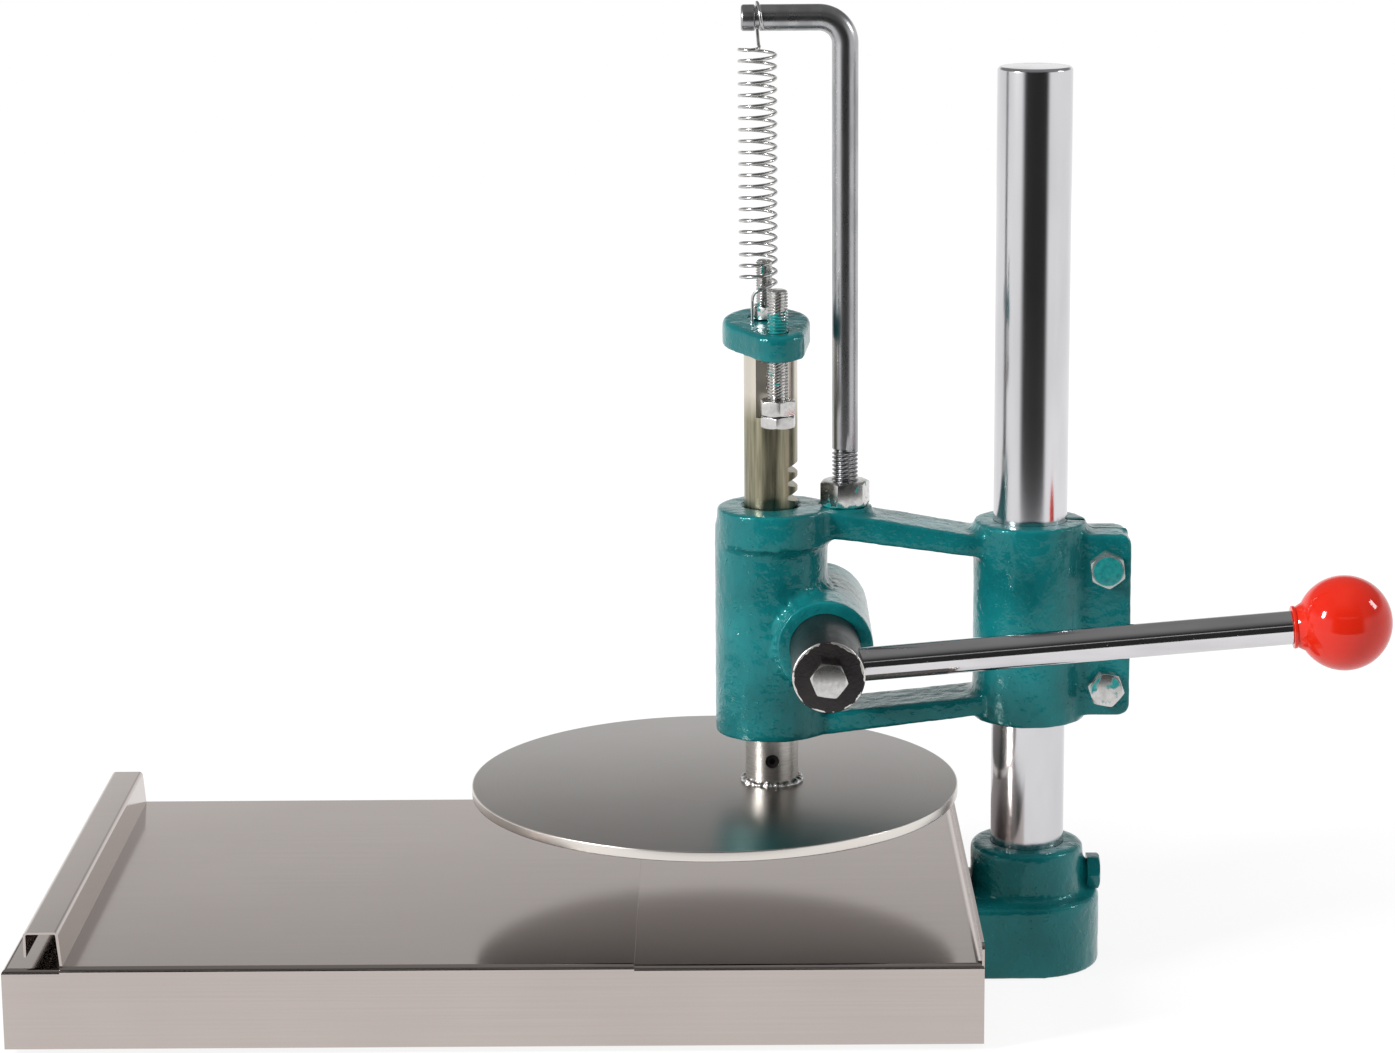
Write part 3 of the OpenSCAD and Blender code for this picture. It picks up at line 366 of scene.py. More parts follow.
turned_disc, place = start("turned_disc")
radius = from_axis(place, disc_middle, (1, 1, 0))
rings = patches(add("CombineXYZ", {0: radius}), 0.7)
tone = mixed(patches(place, 60), "#A09B97", "#A6A19D")
tone = mixed(maths("MULTIPLY", rings, 0.2), tone, "#969190")
# Painted shade: the disc's underside is painted dark, so the tray mirrors a dark disc.
shaded_underside = maths("LESS_THAN", along(place, "Z"), disc_low.z + 0.3 * MM)
tone = mixed(shaded_underside, tone, "#5A5350")
# Painted highlight: a bright band is painted round the disc's rim.
rim_highlight_and_wear = ramp(radius, disc_radius - 0.8 * MM, disc_radius - 0.4 * MM)
rim_highlight_and_wear = maths("SUBTRACT", rim_highlight_and_wear, shaded_underside, use_clamp=True)
metal(mixed(rim_highlight_and_wear, tone, "#E2DCD6"), rings, (0.27, 0.31), Normal=bumps(rings, 0.015, 0.1))

# %% [markdown]
# ### Chrome plate
# The column and the lever are ground steel with bright chrome on it: nearly a mirror, so what
# they show is the room. Uneven roughness, as from handling, keeps it from looking drawn. The
# lever has a few pits. The spring's hanger is plated over rougher bar, so it is duller.

# %% Chrome
bright_chrome = plain("bright_chrome", 22, ("#D4D3D6", "#C8C7CA"), (0.15, 0.20), low=0.35,
                      stretch=(1, 1, 4))

lever_chrome, place = start("lever_chrome")
smudge = patches(place, 9, 0.35, stretch=(5, 1, 1))
pits = patches(place, 1.5, 0.72, 0.78)
tone = mixed(pits, mixed(smudge, "#D6D4D6", "#C8C6C8"), "#8A8684")
metal(tone, smudge, (0.08, 0.13), Normal=bumps(pits, 0.25, 0.2, invert=True))

dull_chrome = plain("dull_chrome", 7, ("#B0B0B2", "#9E9EA0"), (0.26, 0.32), low=0.4, high=0.65,
                    stretch=(1, 1, 3))

# %% [markdown]
# ### Zinc plate, and zinc with paint on it
# Bolts and nuts have bright zinc over rolled or forged steel: a pale, soft-shining grey. The press
# was painted with some bolts in place, so those carry splashes of its paint. The splashes are a
# mask that mixes metal and paint in one shader, so that plate shows where the paint is off.

# %% Zinc
PAINT_DARK, PAINT_MAIN, PAINT_LIGHT = "#0C666A", "#157E82", "#2BA8A4"
FACE_FULL, FACE_RUBBED, RUBBED_SHARE = 6.9, 7.5, 0.25


def zinc_finish(name, splash=None):
    """Bright zinc plate, with paint where the mask that splash gives is 1."""
    made, place = start(name)
    mottle = patches(place, 2.6)
    colour = mixed(mottle, "#D0CFCD", "#BFBEBC")
    metallic, roughness = 1.0, ramp(mottle, 0, 1, 0.20, 0.27)
    if splash:
        mask = splash(place)
        colour = mixed(mask, colour, mixed(mottle, PAINT_MAIN, PAINT_LIGHT))
        metallic = ramp(mask, 0, 1, 1.0, 0.0)
        roughness = mixed_values(mask, roughness, 0.25)
    close({"Base Color": colour, "Metallic": metallic, "Roughness": roughness,
           "Normal": bumps(mottle, 0.04, 0.1)})
    return made


def painted_face(low, high, centre):
    """Splashes on the face of a bolt along Y, rubbed nearly off its cone and sides."""
    def mask(place):
        off = from_axis(place, centre, (1, 0, 1))
        left = ramp(off, FACE_FULL * MM, FACE_RUBBED * MM, 1.0, RUBBED_SHARE)
        return maths("MULTIPLY", left, patches(place, 6, low, high))
    return mask


def near_height(height, reach):
    """A splash mask that is full at a height in mm and gives out this many mm away from it."""
    def mask(place):
        off = maths("SUBTRACT", along(place, "Z"), height * MM)
        share = ramp(maths("ABSOLUTE", off), 0, reach * MM, 0.95, 0.0)
        total = maths("ADD", share, patches(place, 3.0))
        return ramp(total, 0.85, 1.0)
    return mask


zinc_plate = zinc_finish("zinc_plate")

# %% [markdown]
# ### Gloss paint over a rough casting
# Blue-green alkyd gloss, brushed on sand cast iron. The paint levels out a little, so the sand's
# grain shows as soft lumps with bright glints. It has a clear top layer, so a coat carries the
# sharp glints and the colour below stays softer. Small specks of the colour are painted lighter as
# painted glints.

# %% Paint
casting_paint, place = start("casting_paint")
tone = mixed(patches(place, 30, 0.35, 0.68), PAINT_DARK, PAINT_MAIN)
# Painted glints: small specks of the base colour are painted lighter.
painted_glints = maths("MULTIPLY", patches(place, 1.3, 0.66, 0.74), 0.4)
peel = bumps(patches(place, 6.0, 0.2, 0.8), 0.5, 0.4)
sand = bumps(patches(place, 2.4, 0.35, 0.75, detail=1.0), 0.2, 0.3, over=peel)
pimples = patches(place, 2.8, 0.62, 0.74, detail=1.0)
lumps = bumps(pimples, 0.4, 0.3, over=sand)
close({
    "Base Color": mixed(painted_glints, tone, PAINT_LIGHT),
    "Roughness": ramp(pimples, 0, 1, 0.30, 0.24),
    "Specular IOR Level": 0.6,
    "Specular Tint": "#3FC4BE",
    "Coat Weight": 0.45,
    "Coat Roughness": 0.05,
    "Normal": lumps,
    "Coat Normal": lumps,
})

# %% [markdown]
# ### Black oxide steel
# The crank's hub is turned steel, blackened in a hot salt bath. The black is thin, so knocks have
# chipped it to bright steel round its front edge. The chips are noise that passes a threshold
# only near that edge, measured from the shaft's axis and its front face.

# %% Black oxide
HUB_RADIUS = 17.15
crank = next(j for j in frame["joints"] if j["name"] == "crank_turn")
axle = Vector(crank["pos_m"])
hub_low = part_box("pinion_shaft")[0]

black_oxide, place = start("black_oxide")
radius = from_axis(place, axle, (1, 0, 1))
rim_highlight_and_wear = ramp(radius, (HUB_RADIUS - 2.6) * MM, (HUB_RADIUS - 0.6) * MM)
near = ramp(along(place, "Y"), hub_low.y + 0.4 * MM, hub_low.y + 2.0 * MM, 1.0, 0.0)
rubbed = patches(place, 7, 0.35, 0.65, detail=9.0)
chips = ramp(maths("ADD", maths("MULTIPLY", rim_highlight_and_wear, near), rubbed), 1.36, 1.46)
sooty = patches(place, 6)
close({
    "Base Color": mixed(chips, mixed(sooty, "#1A1617", "#292324"), "#E2DFDB"),
    "Metallic": ramp(chips, 0, 1, 0.2, 1.0),
    "Roughness": ramp(sooty, 0, 1, 0.30, 0.42),
    "Normal": bumps(patches(place, 1.4), 0.3, 0.2),
})

# %% [markdown]
# ### The ram, the spring, the ball, rubber and weld
# The ram is turned and milled steel with a passivated tint, olive to gold in streaks along it.
# Its top end, from the stop nuts up, is painted pale as a painted reflection. The disc's socket is
# faced bright steel. The spring is bright drawn wire. The ball is moulded phenolic, red all
# through, with a hard gloss. The feet are moulded rubber, and the weld is bare metal that froze
# in ripples.

# %% Ram, spring, ball, rubber, weld
passivated_steel, place = start("passivated_steel")
streak = patches(place, 2.4, stretch=(1, 1, 14))
tone = mixed(patches(place, 9, stretch=(1, 1, 3)), "#5E5F52", "#7D7A60")
tone = mixed(streak, tone, "#A7A18A")
# Painted reflection: the ram is painted pale from the stop nuts' height upward.
painted_pale_top = ramp(along(place, "Z"), *(corner.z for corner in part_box("stop_nuts")))
metal(mixed(painted_pale_top, tone, "#D2CBBF"), streak, (0.26, 0.34))

drawn_wire = plain("drawn_wire", 3, ("#D2D1D0", "#B4B3B2"), (0.18, 0.28))
faced_steel = plain("faced_steel", 0.9, ("#DCD9D4", "#C2BFBA"), (0.28, 0.36), stretch=(9, 9, 1))
moulded_phenolic = plain("moulded_phenolic", 14, ("#EC2815", "#F13019"), (0.07, 0.11),
                         metallic=0.0, bump=(14, 0.05, 0.3), gloss=0.42)
moulded_rubber = plain("moulded_rubber", 2, ("#202022", "#333335"), (0.6, 0.8),
                       metallic=0.0, low=0.4)
bare_weld = plain("bare_weld", 2.2, ("#E4E2E0", "#B0A8A6"), (0.18, 0.32), bump=(0.9, 0.4, 0.3))
print("finishes:", len(bpy.data.materials))

# %% [markdown]
# ## Solids that stay as they are
#
# Two small CAD solids already have the real shape at the size they are seen: the rubber feet and
# the grub screw in the disc's socket. They stay, and only get their finish.

# %% Finishes on carried-over solids
kept = {"base_feet": moulded_rubber, "socket_grub_screw": black_oxide}
for node, finish in kept.items():
    slots = frame["nodes"][node].data.materials
    for i in range(len(slots)):
        slots[i] = finish
print("carried over:", ", ".join(kept))


# %% [markdown]
# ## Making a mesh from loops
#
# Most of this machine is round, so most of its pieces are loops of points joined one to the next:
# a turned part is circles, a thread is circles whose radius also turns, a wire is circles that
# follow a line, and a bolt's head is hexagons. One function joins any such loops into a mesh.

# %% Loops to a mesh
def lofted(loops, ring=False):
    """A mesh over loops of points in mm: each is joined to the next. A ring joins up with its
    start, and anything else has its two ends closed."""
    loops = np.asarray(loops, float)
    count, around = loops.shape[:2]
    work = bmesh.new()
    rows = [[work.verts.new(p * MM) for p in loop] for loop in loops]
    for i in range(count if ring else count - 1):
        here, there = rows[i], rows[(i + 1) % count]
        for j in range(around):
            k = (j + 1) % around
            work.faces.new((here[j], here[k], there[k], there[j]))
    if not ring:
        work.faces.new(rows[0])
        work.faces.new(rows[-1])
    bmesh.ops.remove_doubles(work, verts=work.verts, dist=1e-7)
    bmesh.ops.recalc_face_normals(work, faces=work.faces)
    return mesh_from(work, "loops")


def circle(radius, height, steps):
    """A loop about z. The radius and the height may differ from step to step."""
    turn = np.arange(steps) * 2 * pi / steps
    wide = np.broadcast_to(radius, steps)
    return np.stack([wide * np.cos(turn), wide * np.sin(turn), np.broadcast_to(height, steps)], 1)


def rod_line(radius, low, high):
    """The (radius, height) points of a plain rod."""
    return [(0, low), (radius, low), (radius, high), (0, high)]


def eased(line, size, steps=4):
    """A line of (radius, height) points with its inner corners rounded off."""
    out = [line[0]]
    for before, corner, after in zip(line, line[1:], line[2:]):
        a, b, c = (Vector(p) for p in (before, corner, after))
        reach = min(size, (a - b).length * 0.45, (c - b).length * 0.45)
        p, q = b + (a - b).normalized() * reach, b + (c - b).normalized() * reach
        for i in range(steps + 1):
            t = i / steps
            out.append(tuple(p.lerp(b, t).lerp(b.lerp(q, t), t)))
    return out + [line[-1]]


def turned(line, steps=128, ring=False):
    """A turned piece about the z axis, from a line of (radius, height) points."""
    return lofted([circle(r, z, steps) for r, z in line], ring)


def standing(x=0, y=0, z=0, about_x=0, about_y=0, about_z=0):
    """The place of a piece built about z: turned about x, y and z, in degrees, then moved."""
    turn = Matrix.Identity(4)
    for angle, axis in ((about_x, "X"), (about_y, "Y"), (about_z, "Z")):
        turn = Matrix.Rotation(radians(angle), 4, axis) @ turn
    return Matrix.Translation(Vector((x, y, z)) * MM) @ turn


def install(name, mesh, at, finish, body, slot, *nodes, sharp=32):
    """Puts a mesh in its place as one piece, with its finish, body and replaced nodes. The slot is
    not used.
    """
    mesh.name = name
    if at:
        mesh.transform(at)
    mesh.materials.clear()
    mesh.materials.append(finish)
    if sharp:
        mesh.shade_smooth()
        mesh.set_sharp_from_angle(angle=radians(sharp))
    piece = placed(name, mesh)
    if body:
        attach(piece, body)
    if nodes:
        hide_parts(*nodes)
    print(name, "-", len(mesh.polygons), "faces on", body or "two bodies")
    return piece


def span(node):
    """A node's box in mm: its low corner, its high corner and its middle."""
    low, high = (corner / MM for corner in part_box(node))
    return low, high, (low + high) / 2


# %% [markdown]
# ## Column and lever
#
# Mirrors show every flat of a faceted cylinder, so both are turned again here with many steps and
# smooth shading. The column's top has a small bevel, whose bright line the eye expects.

# %% Column
low, high, middle = span("pole")
pole_x, pole_radius = middle.x, (high.x - low.x) / 2
POLE_BEVEL = 1.2
line = [(0, low.z), (pole_radius, low.z), (pole_radius, high.z - POLE_BEVEL),
        (pole_radius - POLE_BEVEL, high.z), (0, high.z)]
install("column", turned(eased(line, 0.6), 192), standing(x=pole_x), bright_chrome,
        "column", "chrome_plate", "pole")

# %% [markdown]
# ## Sheet and bar with broken edges
#
# The folded sheets, the ram and the disc's socket are already the right shape. Their copies only
# get what a file and a tumbler do: every sharp edge is broken by 0.2 to 0.3 mm, so that it catches
# a line of light, and the bends shade as true curves.

# %% Broken edges
def modified(mesh, *modifiers):
    """The mesh after some modifiers, each a (kind, settings) pair."""
    made = placed("work", mesh)
    for kind, settings in modifiers:
        step = made.modifiers.new(kind, kind)
        for name, value in settings.items():
            setattr(step, name, value)
    shaped = made.evaluated_get(bpy.context.evaluated_depsgraph_get())
    out = bpy.data.meshes.new_from_object(shaped)
    bpy.data.objects.remove(made)
    return out


def mesh_of(node):
    """A copy of a node's mesh for work, with its doubled points joined."""
    work = bmesh.new()
    work.from_mesh(frame["nodes"][node].data)
    bmesh.ops.remove_doubles(work, verts=work.verts, dist=1e-6)
    return work


def broken_edges(node, size):
    """A node's mesh with its flats joined up and its sharp edges broken by a size in mm."""
    work = mesh_of(node)
    bmesh.ops.dissolve_limit(work, angle_limit=radians(0.5), verts=work.verts, edges=work.edges)
    bevel = {"width": size * MM, "segments": 2, "limit_method": "ANGLE", "angle_limit": radians(34)}
    mesh = modified(mesh_from(work, node + "_filed"), ("BEVEL", bevel))
    mesh.shade_smooth()
    return modified(mesh, ("WEIGHTED_NORMAL", {"mode": "FACE_AREA", "weight": 100}))


for name, node, finish, size, body, slot in (
        ("folded_base", "chassis", satin_stainless, 0.25, "base", "stainless_sheet"),
        ("folded_tray", "tray", satin_stainless, 0.25, "tray", "stainless_sheet"),
        ("milled_ram", "ram", passivated_steel, 0.2, "ram", "ram_steel"),
        ("bored_socket", "disc_socket", faced_steel, 0.3, "ram", "brushed_disc")):
    install(name, broken_edges(node, size), None, finish, body, slot, node, sharp=None)

# %% [markdown]
# The disc is turned again like the column, so that its rim is a true circle in every mirror.

# %% Press disc
low, high, middle = span("press_disc")
disc = turned(eased(rod_line((high.x - low.x) / 2, low.z, high.z), 0.6), 256)
install("turned_press_disc", disc, standing(middle.x, middle.y), turned_disc,
        "ram", "brushed_disc", "press_disc")

# %% [markdown]
# The lever is a ground rod through the hub, and the ball is moulded on a neck at its end. Both are
# turned about one tilted axis, so they share their place.

# %% Lever and ball
LEVER_TILT, LEVER_RADIUS, LEVER_PAST, LEVER_Y = 4.7, 8.0, 5.5, -75.0
BALL_REACH, BALL_RADIUS = 243.6, 22.49
NECK_RADIUS, NECK_LENGTH, NECK_LIP, NECK_TOP = 10.15, 4.5, 1.4, 2.0
neck_end = sqrt(BALL_RADIUS ** 2 - NECK_RADIUS ** 2)
neck_at = BALL_REACH - neck_end - NECK_LENGTH
axle_mm = axle / MM
lever_place = standing(x=axle_mm.x, y=LEVER_Y, z=axle_mm.z, about_y=90 - LEVER_TILT)

lever = turned(eased(rod_line(LEVER_RADIUS, -LEVER_PAST, neck_at), 0.5), 96)
install("lever_rod", lever, lever_place, lever_chrome, "crank", "chrome_plate", "lever")

# The ball's line: up the neck and its small lip, then round the ball to its far side.
line = eased([(0, neck_at), (NECK_RADIUS, neck_at), (NECK_RADIUS, neck_at + NECK_LIP),
              (NECK_RADIUS - 0.5, neck_at + NECK_TOP)], 0.5)
start_angle = degrees(atan2(neck_end, NECK_RADIUS)) - 4
for i in range(61):
    angle = radians(-start_angle + (start_angle + 90) * i / 60)
    line.append((BALL_RADIUS * cos(angle), BALL_REACH + BALL_RADIUS * sin(angle)))
install("ball_knob", turned(line, 96), lever_place, moulded_phenolic,
        "crank", "red_plastic", "knob", sharp=50)

# %% [markdown]
# ## The crank's hub and pinion
#
# The hub, the teeth and the rear journal are one turned and cut bar. The teeth are hidden in the
# housing but are modelled, because the parts move: their outline repeats the CAD's flank.

# %% Hub and pinion
MODULE, TEETH = 2.25, 13
PITCH_RADIUS = MODULE * TEETH / 2
FLANK = [(-1.25, 0.37), (-0.92, 0.28), (-0.7, 0.262), (-0.39, 0.258),
         (0, 0.234), (0.43, 0.172), (0.72, 0.122), (1, 0.07)]
TEETH_HALF, JOURNAL_END, JOURNAL_RADIUS, BOSS_BACK, STEP_GAP = 14, 24, 10, 46, 0.05
RACK_DROP = 3.05
hub_front = hub_low.y / MM
first_tooth = 180 - degrees(RACK_DROP / PITCH_RADIUS)

# Each flank point is its height in modules and its half width as a share of the tooth's pitch.
outline = []
for tooth in range(TEETH):
    for side, points in ((-1, FLANK), (1, FLANK[::-1])):
        for rise, share in points:
            angle = radians(first_tooth + (tooth + side * share) * 360 / TEETH)
            reach = PITCH_RADIUS + rise * MODULE
            outline.append((reach * cos(angle), -reach * sin(angle)))
outline = np.array(outline)
angles = np.unwrap(np.arctan2(outline[:, 1], outline[:, 0]))


def hub_circle(radius, z):
    """A circle with a point beside each point of the teeth, so that the two can be joined."""
    return np.stack([radius * np.cos(angles), radius * np.sin(angles), np.full(len(angles), z)], 1)


def on_axle(y, about_x=-90, about_y=0):
    """The place of a piece on the crank's axle, at a depth in mm. It points back."""
    return standing(axle_mm.x, y, axle_mm.z, about_x, about_y)


teeth = [np.column_stack([outline, np.full(len(outline), z)]) for z in (-TEETH_HALF, TEETH_HALF)]
front_line = eased(rod_line(HUB_RADIUS, hub_front, -TEETH_HALF), 1.0)[:-1]
back_line = [(HUB_RADIUS, TEETH_HALF),
             (HUB_RADIUS, JOURNAL_END - STEP_GAP), (JOURNAL_RADIUS, JOURNAL_END - STEP_GAP),
             (JOURNAL_RADIUS, BOSS_BACK + STEP_GAP), (0, BOSS_BACK + STEP_GAP)]
front, back = ([hub_circle(r, z) for r, z in line] for line in (front_line, back_line))
hub = lofted([*front, *teeth, *back])
install("crank_hub", hub, on_axle(0), black_oxide, "crank", "black_oxide", "pinion_shaft")


# %% [markdown]
# ## Bolts and nuts
#
# A rolled hexagon has a cone turned on its face, which leaves six curved edges. Each side of the
# loop gets several points, and each point's height is where the cone meets the flat there. A nut
# has the cone on both faces and a bore with a countersink. No head carries a mark.

# %% Hexagon helper
M8_FLATS, M8_NUT, M8_RADIUS, M8_PITCH = 13.0, 6.6, 4.0, 1.25
M10_FLATS, M10_NUT, M10_RADIUS, M10_PITCH = 16.0, 8.0, 5.0, 1.5
M10_HEAD, M10_WASHER_BORE = 6.4, 5.3
CORNER_OFF, CONE_IN, CONE_ANGLE = 0.15, 0.35, 30
SINK_WIDE, SINK_DEEP = 0.7, 0.9


def hexagon(across_flats, height, bore=0, edge=0.25):
    """A hexagon head on z = 0, with its cone on top, or a nut if it has a bore."""
    flat, corner = across_flats / 2, across_flats / sqrt(3)
    steps = 48
    turn = np.arange(steps) * 2 * pi / steps
    off_flat = np.abs(turn % (pi / 3) - pi / 6)
    reach = np.minimum(flat / np.cos(off_flat), corner - CORNER_OFF)
    face = flat - CONE_IN
    drop = (reach - face) * tan(radians(CONE_ANGLE))

    # Each (radius, height) pair is one loop: over the face's edge, down the cone and the wall.
    line = [(face - edge, height), (face + edge * 0.5, height - edge * 0.35),
            (reach - edge * 0.35, height - drop + edge * 0.25), (reach, height - drop - edge)]
    if not bore:
        return turned([(0, height), *line, (reach, 0), (0, 0)], steps)
    sink = bore + SINK_WIDE
    line = [(bore, height - SINK_DEEP), (sink, height), *line,
            (reach, drop + edge), (reach - edge * 0.35, drop - edge * 0.25),
            (face + edge * 0.5, edge * 0.35), (face - edge, 0), (sink, 0), (bore, SINK_DEEP)]
    return turned(line, steps, ring=True)


def joined(*parts):
    """One mesh from several (mesh, place) pairs."""
    work = bmesh.new()
    for mesh, at in parts:
        mesh.transform(at)
        work.from_mesh(mesh)
        bpy.data.meshes.remove(mesh)
    return mesh_from(work, "joined")


def bolt(length, flats=M10_FLATS, head=M10_HEAD, radius=M10_RADIUS):
    """A bolt with its head above z = 0 and a plain shank below, which ends inside the head."""
    shank = turned(rod_line(radius, -length, 1.0), 48)
    return joined((hexagon(flats, head), Matrix()), (shank, Matrix()))


def washer_line(radius, thick):
    """The (radius, height) points of a washer for an M10 bolt."""
    return [(M10_WASHER_BORE, 0), (radius, 0), (radius, thick), (M10_WASHER_BORE, thick)]


# %% [markdown]
# The clamp's two bolts were painted over and then wiped: the upper one is still green, the lower
# one is bare with flecks. Their splash masks differ only in how much noise passes.

# %% Clamp bolts, washers and nuts
CLAMP_WASHER = 10
low, high, _ = span("clamp_bolts")
washer_low, washer_high, washer_middle = span("clamp_washers")
bolt_x, bolt_seat = washer_middle.x, low.y + M10_HEAD
bolt_zs = [washer_low.z + CLAMP_WASHER, washer_high.z - CLAMP_WASHER]

# Each bolt's finish, the noise where its paint starts and where it is full, and its turn.
looks = (("zinc_flecked", 0.54, 0.62, 11), ("zinc_painted_over", 0.28, 0.36, 24))
for i, (z, (name, bare, full, turn)) in enumerate(zip(bolt_zs, looks)):
    finish = zinc_finish(name, painted_face(bare, full, Vector((bolt_x, 0, z)) * MM))
    nodes = ("clamp_bolts",) if i == 0 else ()
    install(f"clamp_bolt_{i + 1}", bolt(high.y - bolt_seat),
            standing(bolt_x, bolt_seat, z, about_x=90, about_y=turn), finish,
            "head", "zinc", *nodes)
washers = [(turned(washer_line(CLAMP_WASHER, 2), 64, ring=True),
            standing(bolt_x, washer_low.y, z, about_x=-90)) for z in bolt_zs]
nuts = [(hexagon(M10_FLATS, M10_NUT, M10_RADIUS), standing(bolt_x, washer_high.y, z, about_x=-90))
        for z in bolt_zs]
install("clamp_washer_pair", joined(*washers), None, zinc_plate, "head", "zinc", "clamp_washers")
install("clamp_nut_pair", joined(*nuts), None, zinc_plate, "head", "zinc", "clamp_nuts")

# %% Crank bolts
low, high, _ = span("pinion_washer")
washer = turned(eased(washer_line(15, 3), 0.3), 96, ring=True)
for name, mesh, at, node in (
        ("lever_bolt", bolt(11.9), on_axle(hub_front, 90, 8), "lever_clamp_bolt"),
        ("rear_washer", washer, on_axle(low.y), "pinion_washer"),
        ("rear_bolt", bolt(20), on_axle(high.y), "pinion_bolt")):
    install(name, mesh, at, zinc_plate, "crank", "zinc", node)

# %% Socket bolts
# The set bolt was painted with the casting. The two fixing bolts sit inside the sheet base.
FIXING_Y, SET_TURN = 26, radians(30)
set_low, set_high, set_middle = span("socket_set_bolt")
at = standing(set_high.x - M10_HEAD, 0, set_middle.z, about_y=90)
install("set_bolt", bolt(set_high.x - set_low.x - M10_HEAD), at @ Matrix.Rotation(SET_TURN, 4, "Z"),
        casting_paint, "base", "green_paint", "socket_set_bolt")
low, high, middle = span("socket_bolts")
pair = [(bolt(high.x - low.x - M8_NUT, M8_FLATS, M8_NUT, M8_RADIUS),
         standing(low.x + M8_NUT, y, middle.z, about_y=-90)) for y in (-FIXING_Y, FIXING_Y)]
install("fixing_bolts", joined(*pair), None, zinc_plate, "base", "zinc", "socket_bolts")


# %% [markdown]
# ## Threads
#
# A thread is a height field on a cylinder: at each angle and height the radius follows a wave
# whose phase turns once per pitch. Flattened crests and rounded roots come from clamping a cosine.

# %% Thread helper
THREAD_STEPS, LOOPS_PER_PITCH, THREAD_DEPTH = 40, 8, 0.55


def thread_loops(diameter, pitch, low, high):
    """Loops of a right-handed thread from one height to another."""
    count = max(2, int((high - low) / pitch * LOOPS_PER_PITCH))
    turn = np.arange(THREAD_STEPS) / THREAD_STEPS
    depth = THREAD_DEPTH * pitch
    loops = []
    for i in range(count + 1):
        z = low + (high - low) * i / count
        wave = np.clip(0.5 + 0.72 * np.cos(2 * pi * (z / pitch - turn)), 0, 1)
        loops.append(circle(diameter / 2 - depth * (1 - wave), z, THREAD_STEPS))
    return loops


def threaded_rod(diameter, pitch, low, high, bevel=0.8):
    """A rod with a thread and a bevelled top end."""
    root = diameter / 2 - THREAD_DEPTH * pitch
    loops = thread_loops(diameter, pitch, low, high - bevel)
    end = [circle(r, z, THREAD_STEPS)
           for r, z in ((root, high - bevel / 2), (root - bevel, high), (0, high))]
    return lofted([circle(0, low, THREAD_STEPS), *loops, *end])


# %% Stud, stop bolt and their nuts
NUT_GAP = 0.1
zinc_by_cap = zinc_finish("zinc_by_cap", near_height(span("ram_cap")[1].z - 3, 10))
for name, node, diameter, pitch in (("cap_stud_rod", "cap_stud", 8, M8_PITCH),
                                    ("stop_rod", "stop_bolt", 10, M10_PITCH)):
    low, high, middle = span(node)
    install(name, threaded_rod(diameter, pitch, low.z, high.z), standing(middle.x, middle.y),
            zinc_by_cap, "ram", "zinc", node)

stop_middle = span("stop_bolt")[2]
nuts, z = [], span("stop_nuts")[0].z
for height, turn in ((5.9, 24), (7.5, 36)):
    nuts.append((hexagon(M10_FLATS, height, M10_RADIUS),
                 standing(stop_middle.x, stop_middle.y, z, about_z=turn)))
    z += height + NUT_GAP
install("stop_nut_pair", joined(*nuts), None, zinc_plate, "ram", "zinc", "stop_nuts")

low, high, middle = span("cap_nut")
zinc_speckled = zinc_finish(
    "zinc_speckled", lambda place: patches(place, 2.4, 0.55, 0.6, detail=4.0))
install("stud_nut", hexagon(M8_FLATS, M8_NUT, M8_RADIUS),
        standing(middle.x, middle.y, low.z, about_z=30), zinc_speckled, "ram", "zinc", "cap_nut")

# %% [markdown]
# ## The spring's hanger
#
# One bar: a cut thread, a straight, a bend a quarter turn round, and a level end with a groove for
# the spring's hook. It is one sweep: loops that follow the bar's line, each with its own radius.

# %% Sweep helper
def swept(path, radii, steps=16):
    """Loops round a line of points, turned from one to the next as little as they can be."""
    path = np.asarray(path, float)
    ahead = np.gradient(path, axis=0)
    ahead /= np.linalg.norm(ahead, axis=1)[:, None]
    side = np.cross(ahead[0], (0, 1, 0))
    if np.linalg.norm(side) < 0.1:
        side = np.cross(ahead[0], (1, 0, 0))
    turn = np.arange(steps) * 2 * pi / steps
    loops = []
    for point, on, radius in zip(path, ahead, np.broadcast_to(radii, len(path))):
        side = side - on * side.dot(on)
        side /= np.linalg.norm(side)
        other = np.cross(on, side)
        ring = np.cos(turn)[:, None] * side + np.sin(turn)[:, None] * other
        loops.append(point + radius * ring)
    return loops


# %% Hanger and its nut
low, high, _ = span("spring_hanger")
nut_low, nut_high, nut_middle = span("hanger_nut")
ROD_RADIUS, ROD_BEND, ROD_PITCH, NUT_FLATS = 6.3, 12.5, 2.0, 21.6
THREAD_LENGTH, SEAT_DEPTH, STRAIGHT_POINTS, BEND_POINTS = 27, 12, 24, 24
GROOVE_AT, GROOVE_WIDTH, GROOVE_DEPTH = 6.5, 2.4, 0.9
rod_x, rod_end, rod_level = nut_middle.x, low.x, high.z - ROD_RADIUS
thread_top = low.z + SEAT_DEPTH + THREAD_LENGTH
bend_z = rod_level - ROD_BEND

thread = [loop + (rod_x, 0, 0)
          for loop in thread_loops(2 * ROD_RADIUS, ROD_PITCH, low.z, thread_top)]
path = [(rod_x, 0, z) for z in np.linspace(thread_top + 1.5, bend_z, STRAIGHT_POINTS)]
for i in range(1, BEND_POINTS + 1):
    angle = radians(90 * i / BEND_POINTS)
    path.append((rod_x - ROD_BEND * (1 - cos(angle)), 0, bend_z + ROD_BEND * sin(angle)))
radii = [ROD_RADIUS] * len(path)

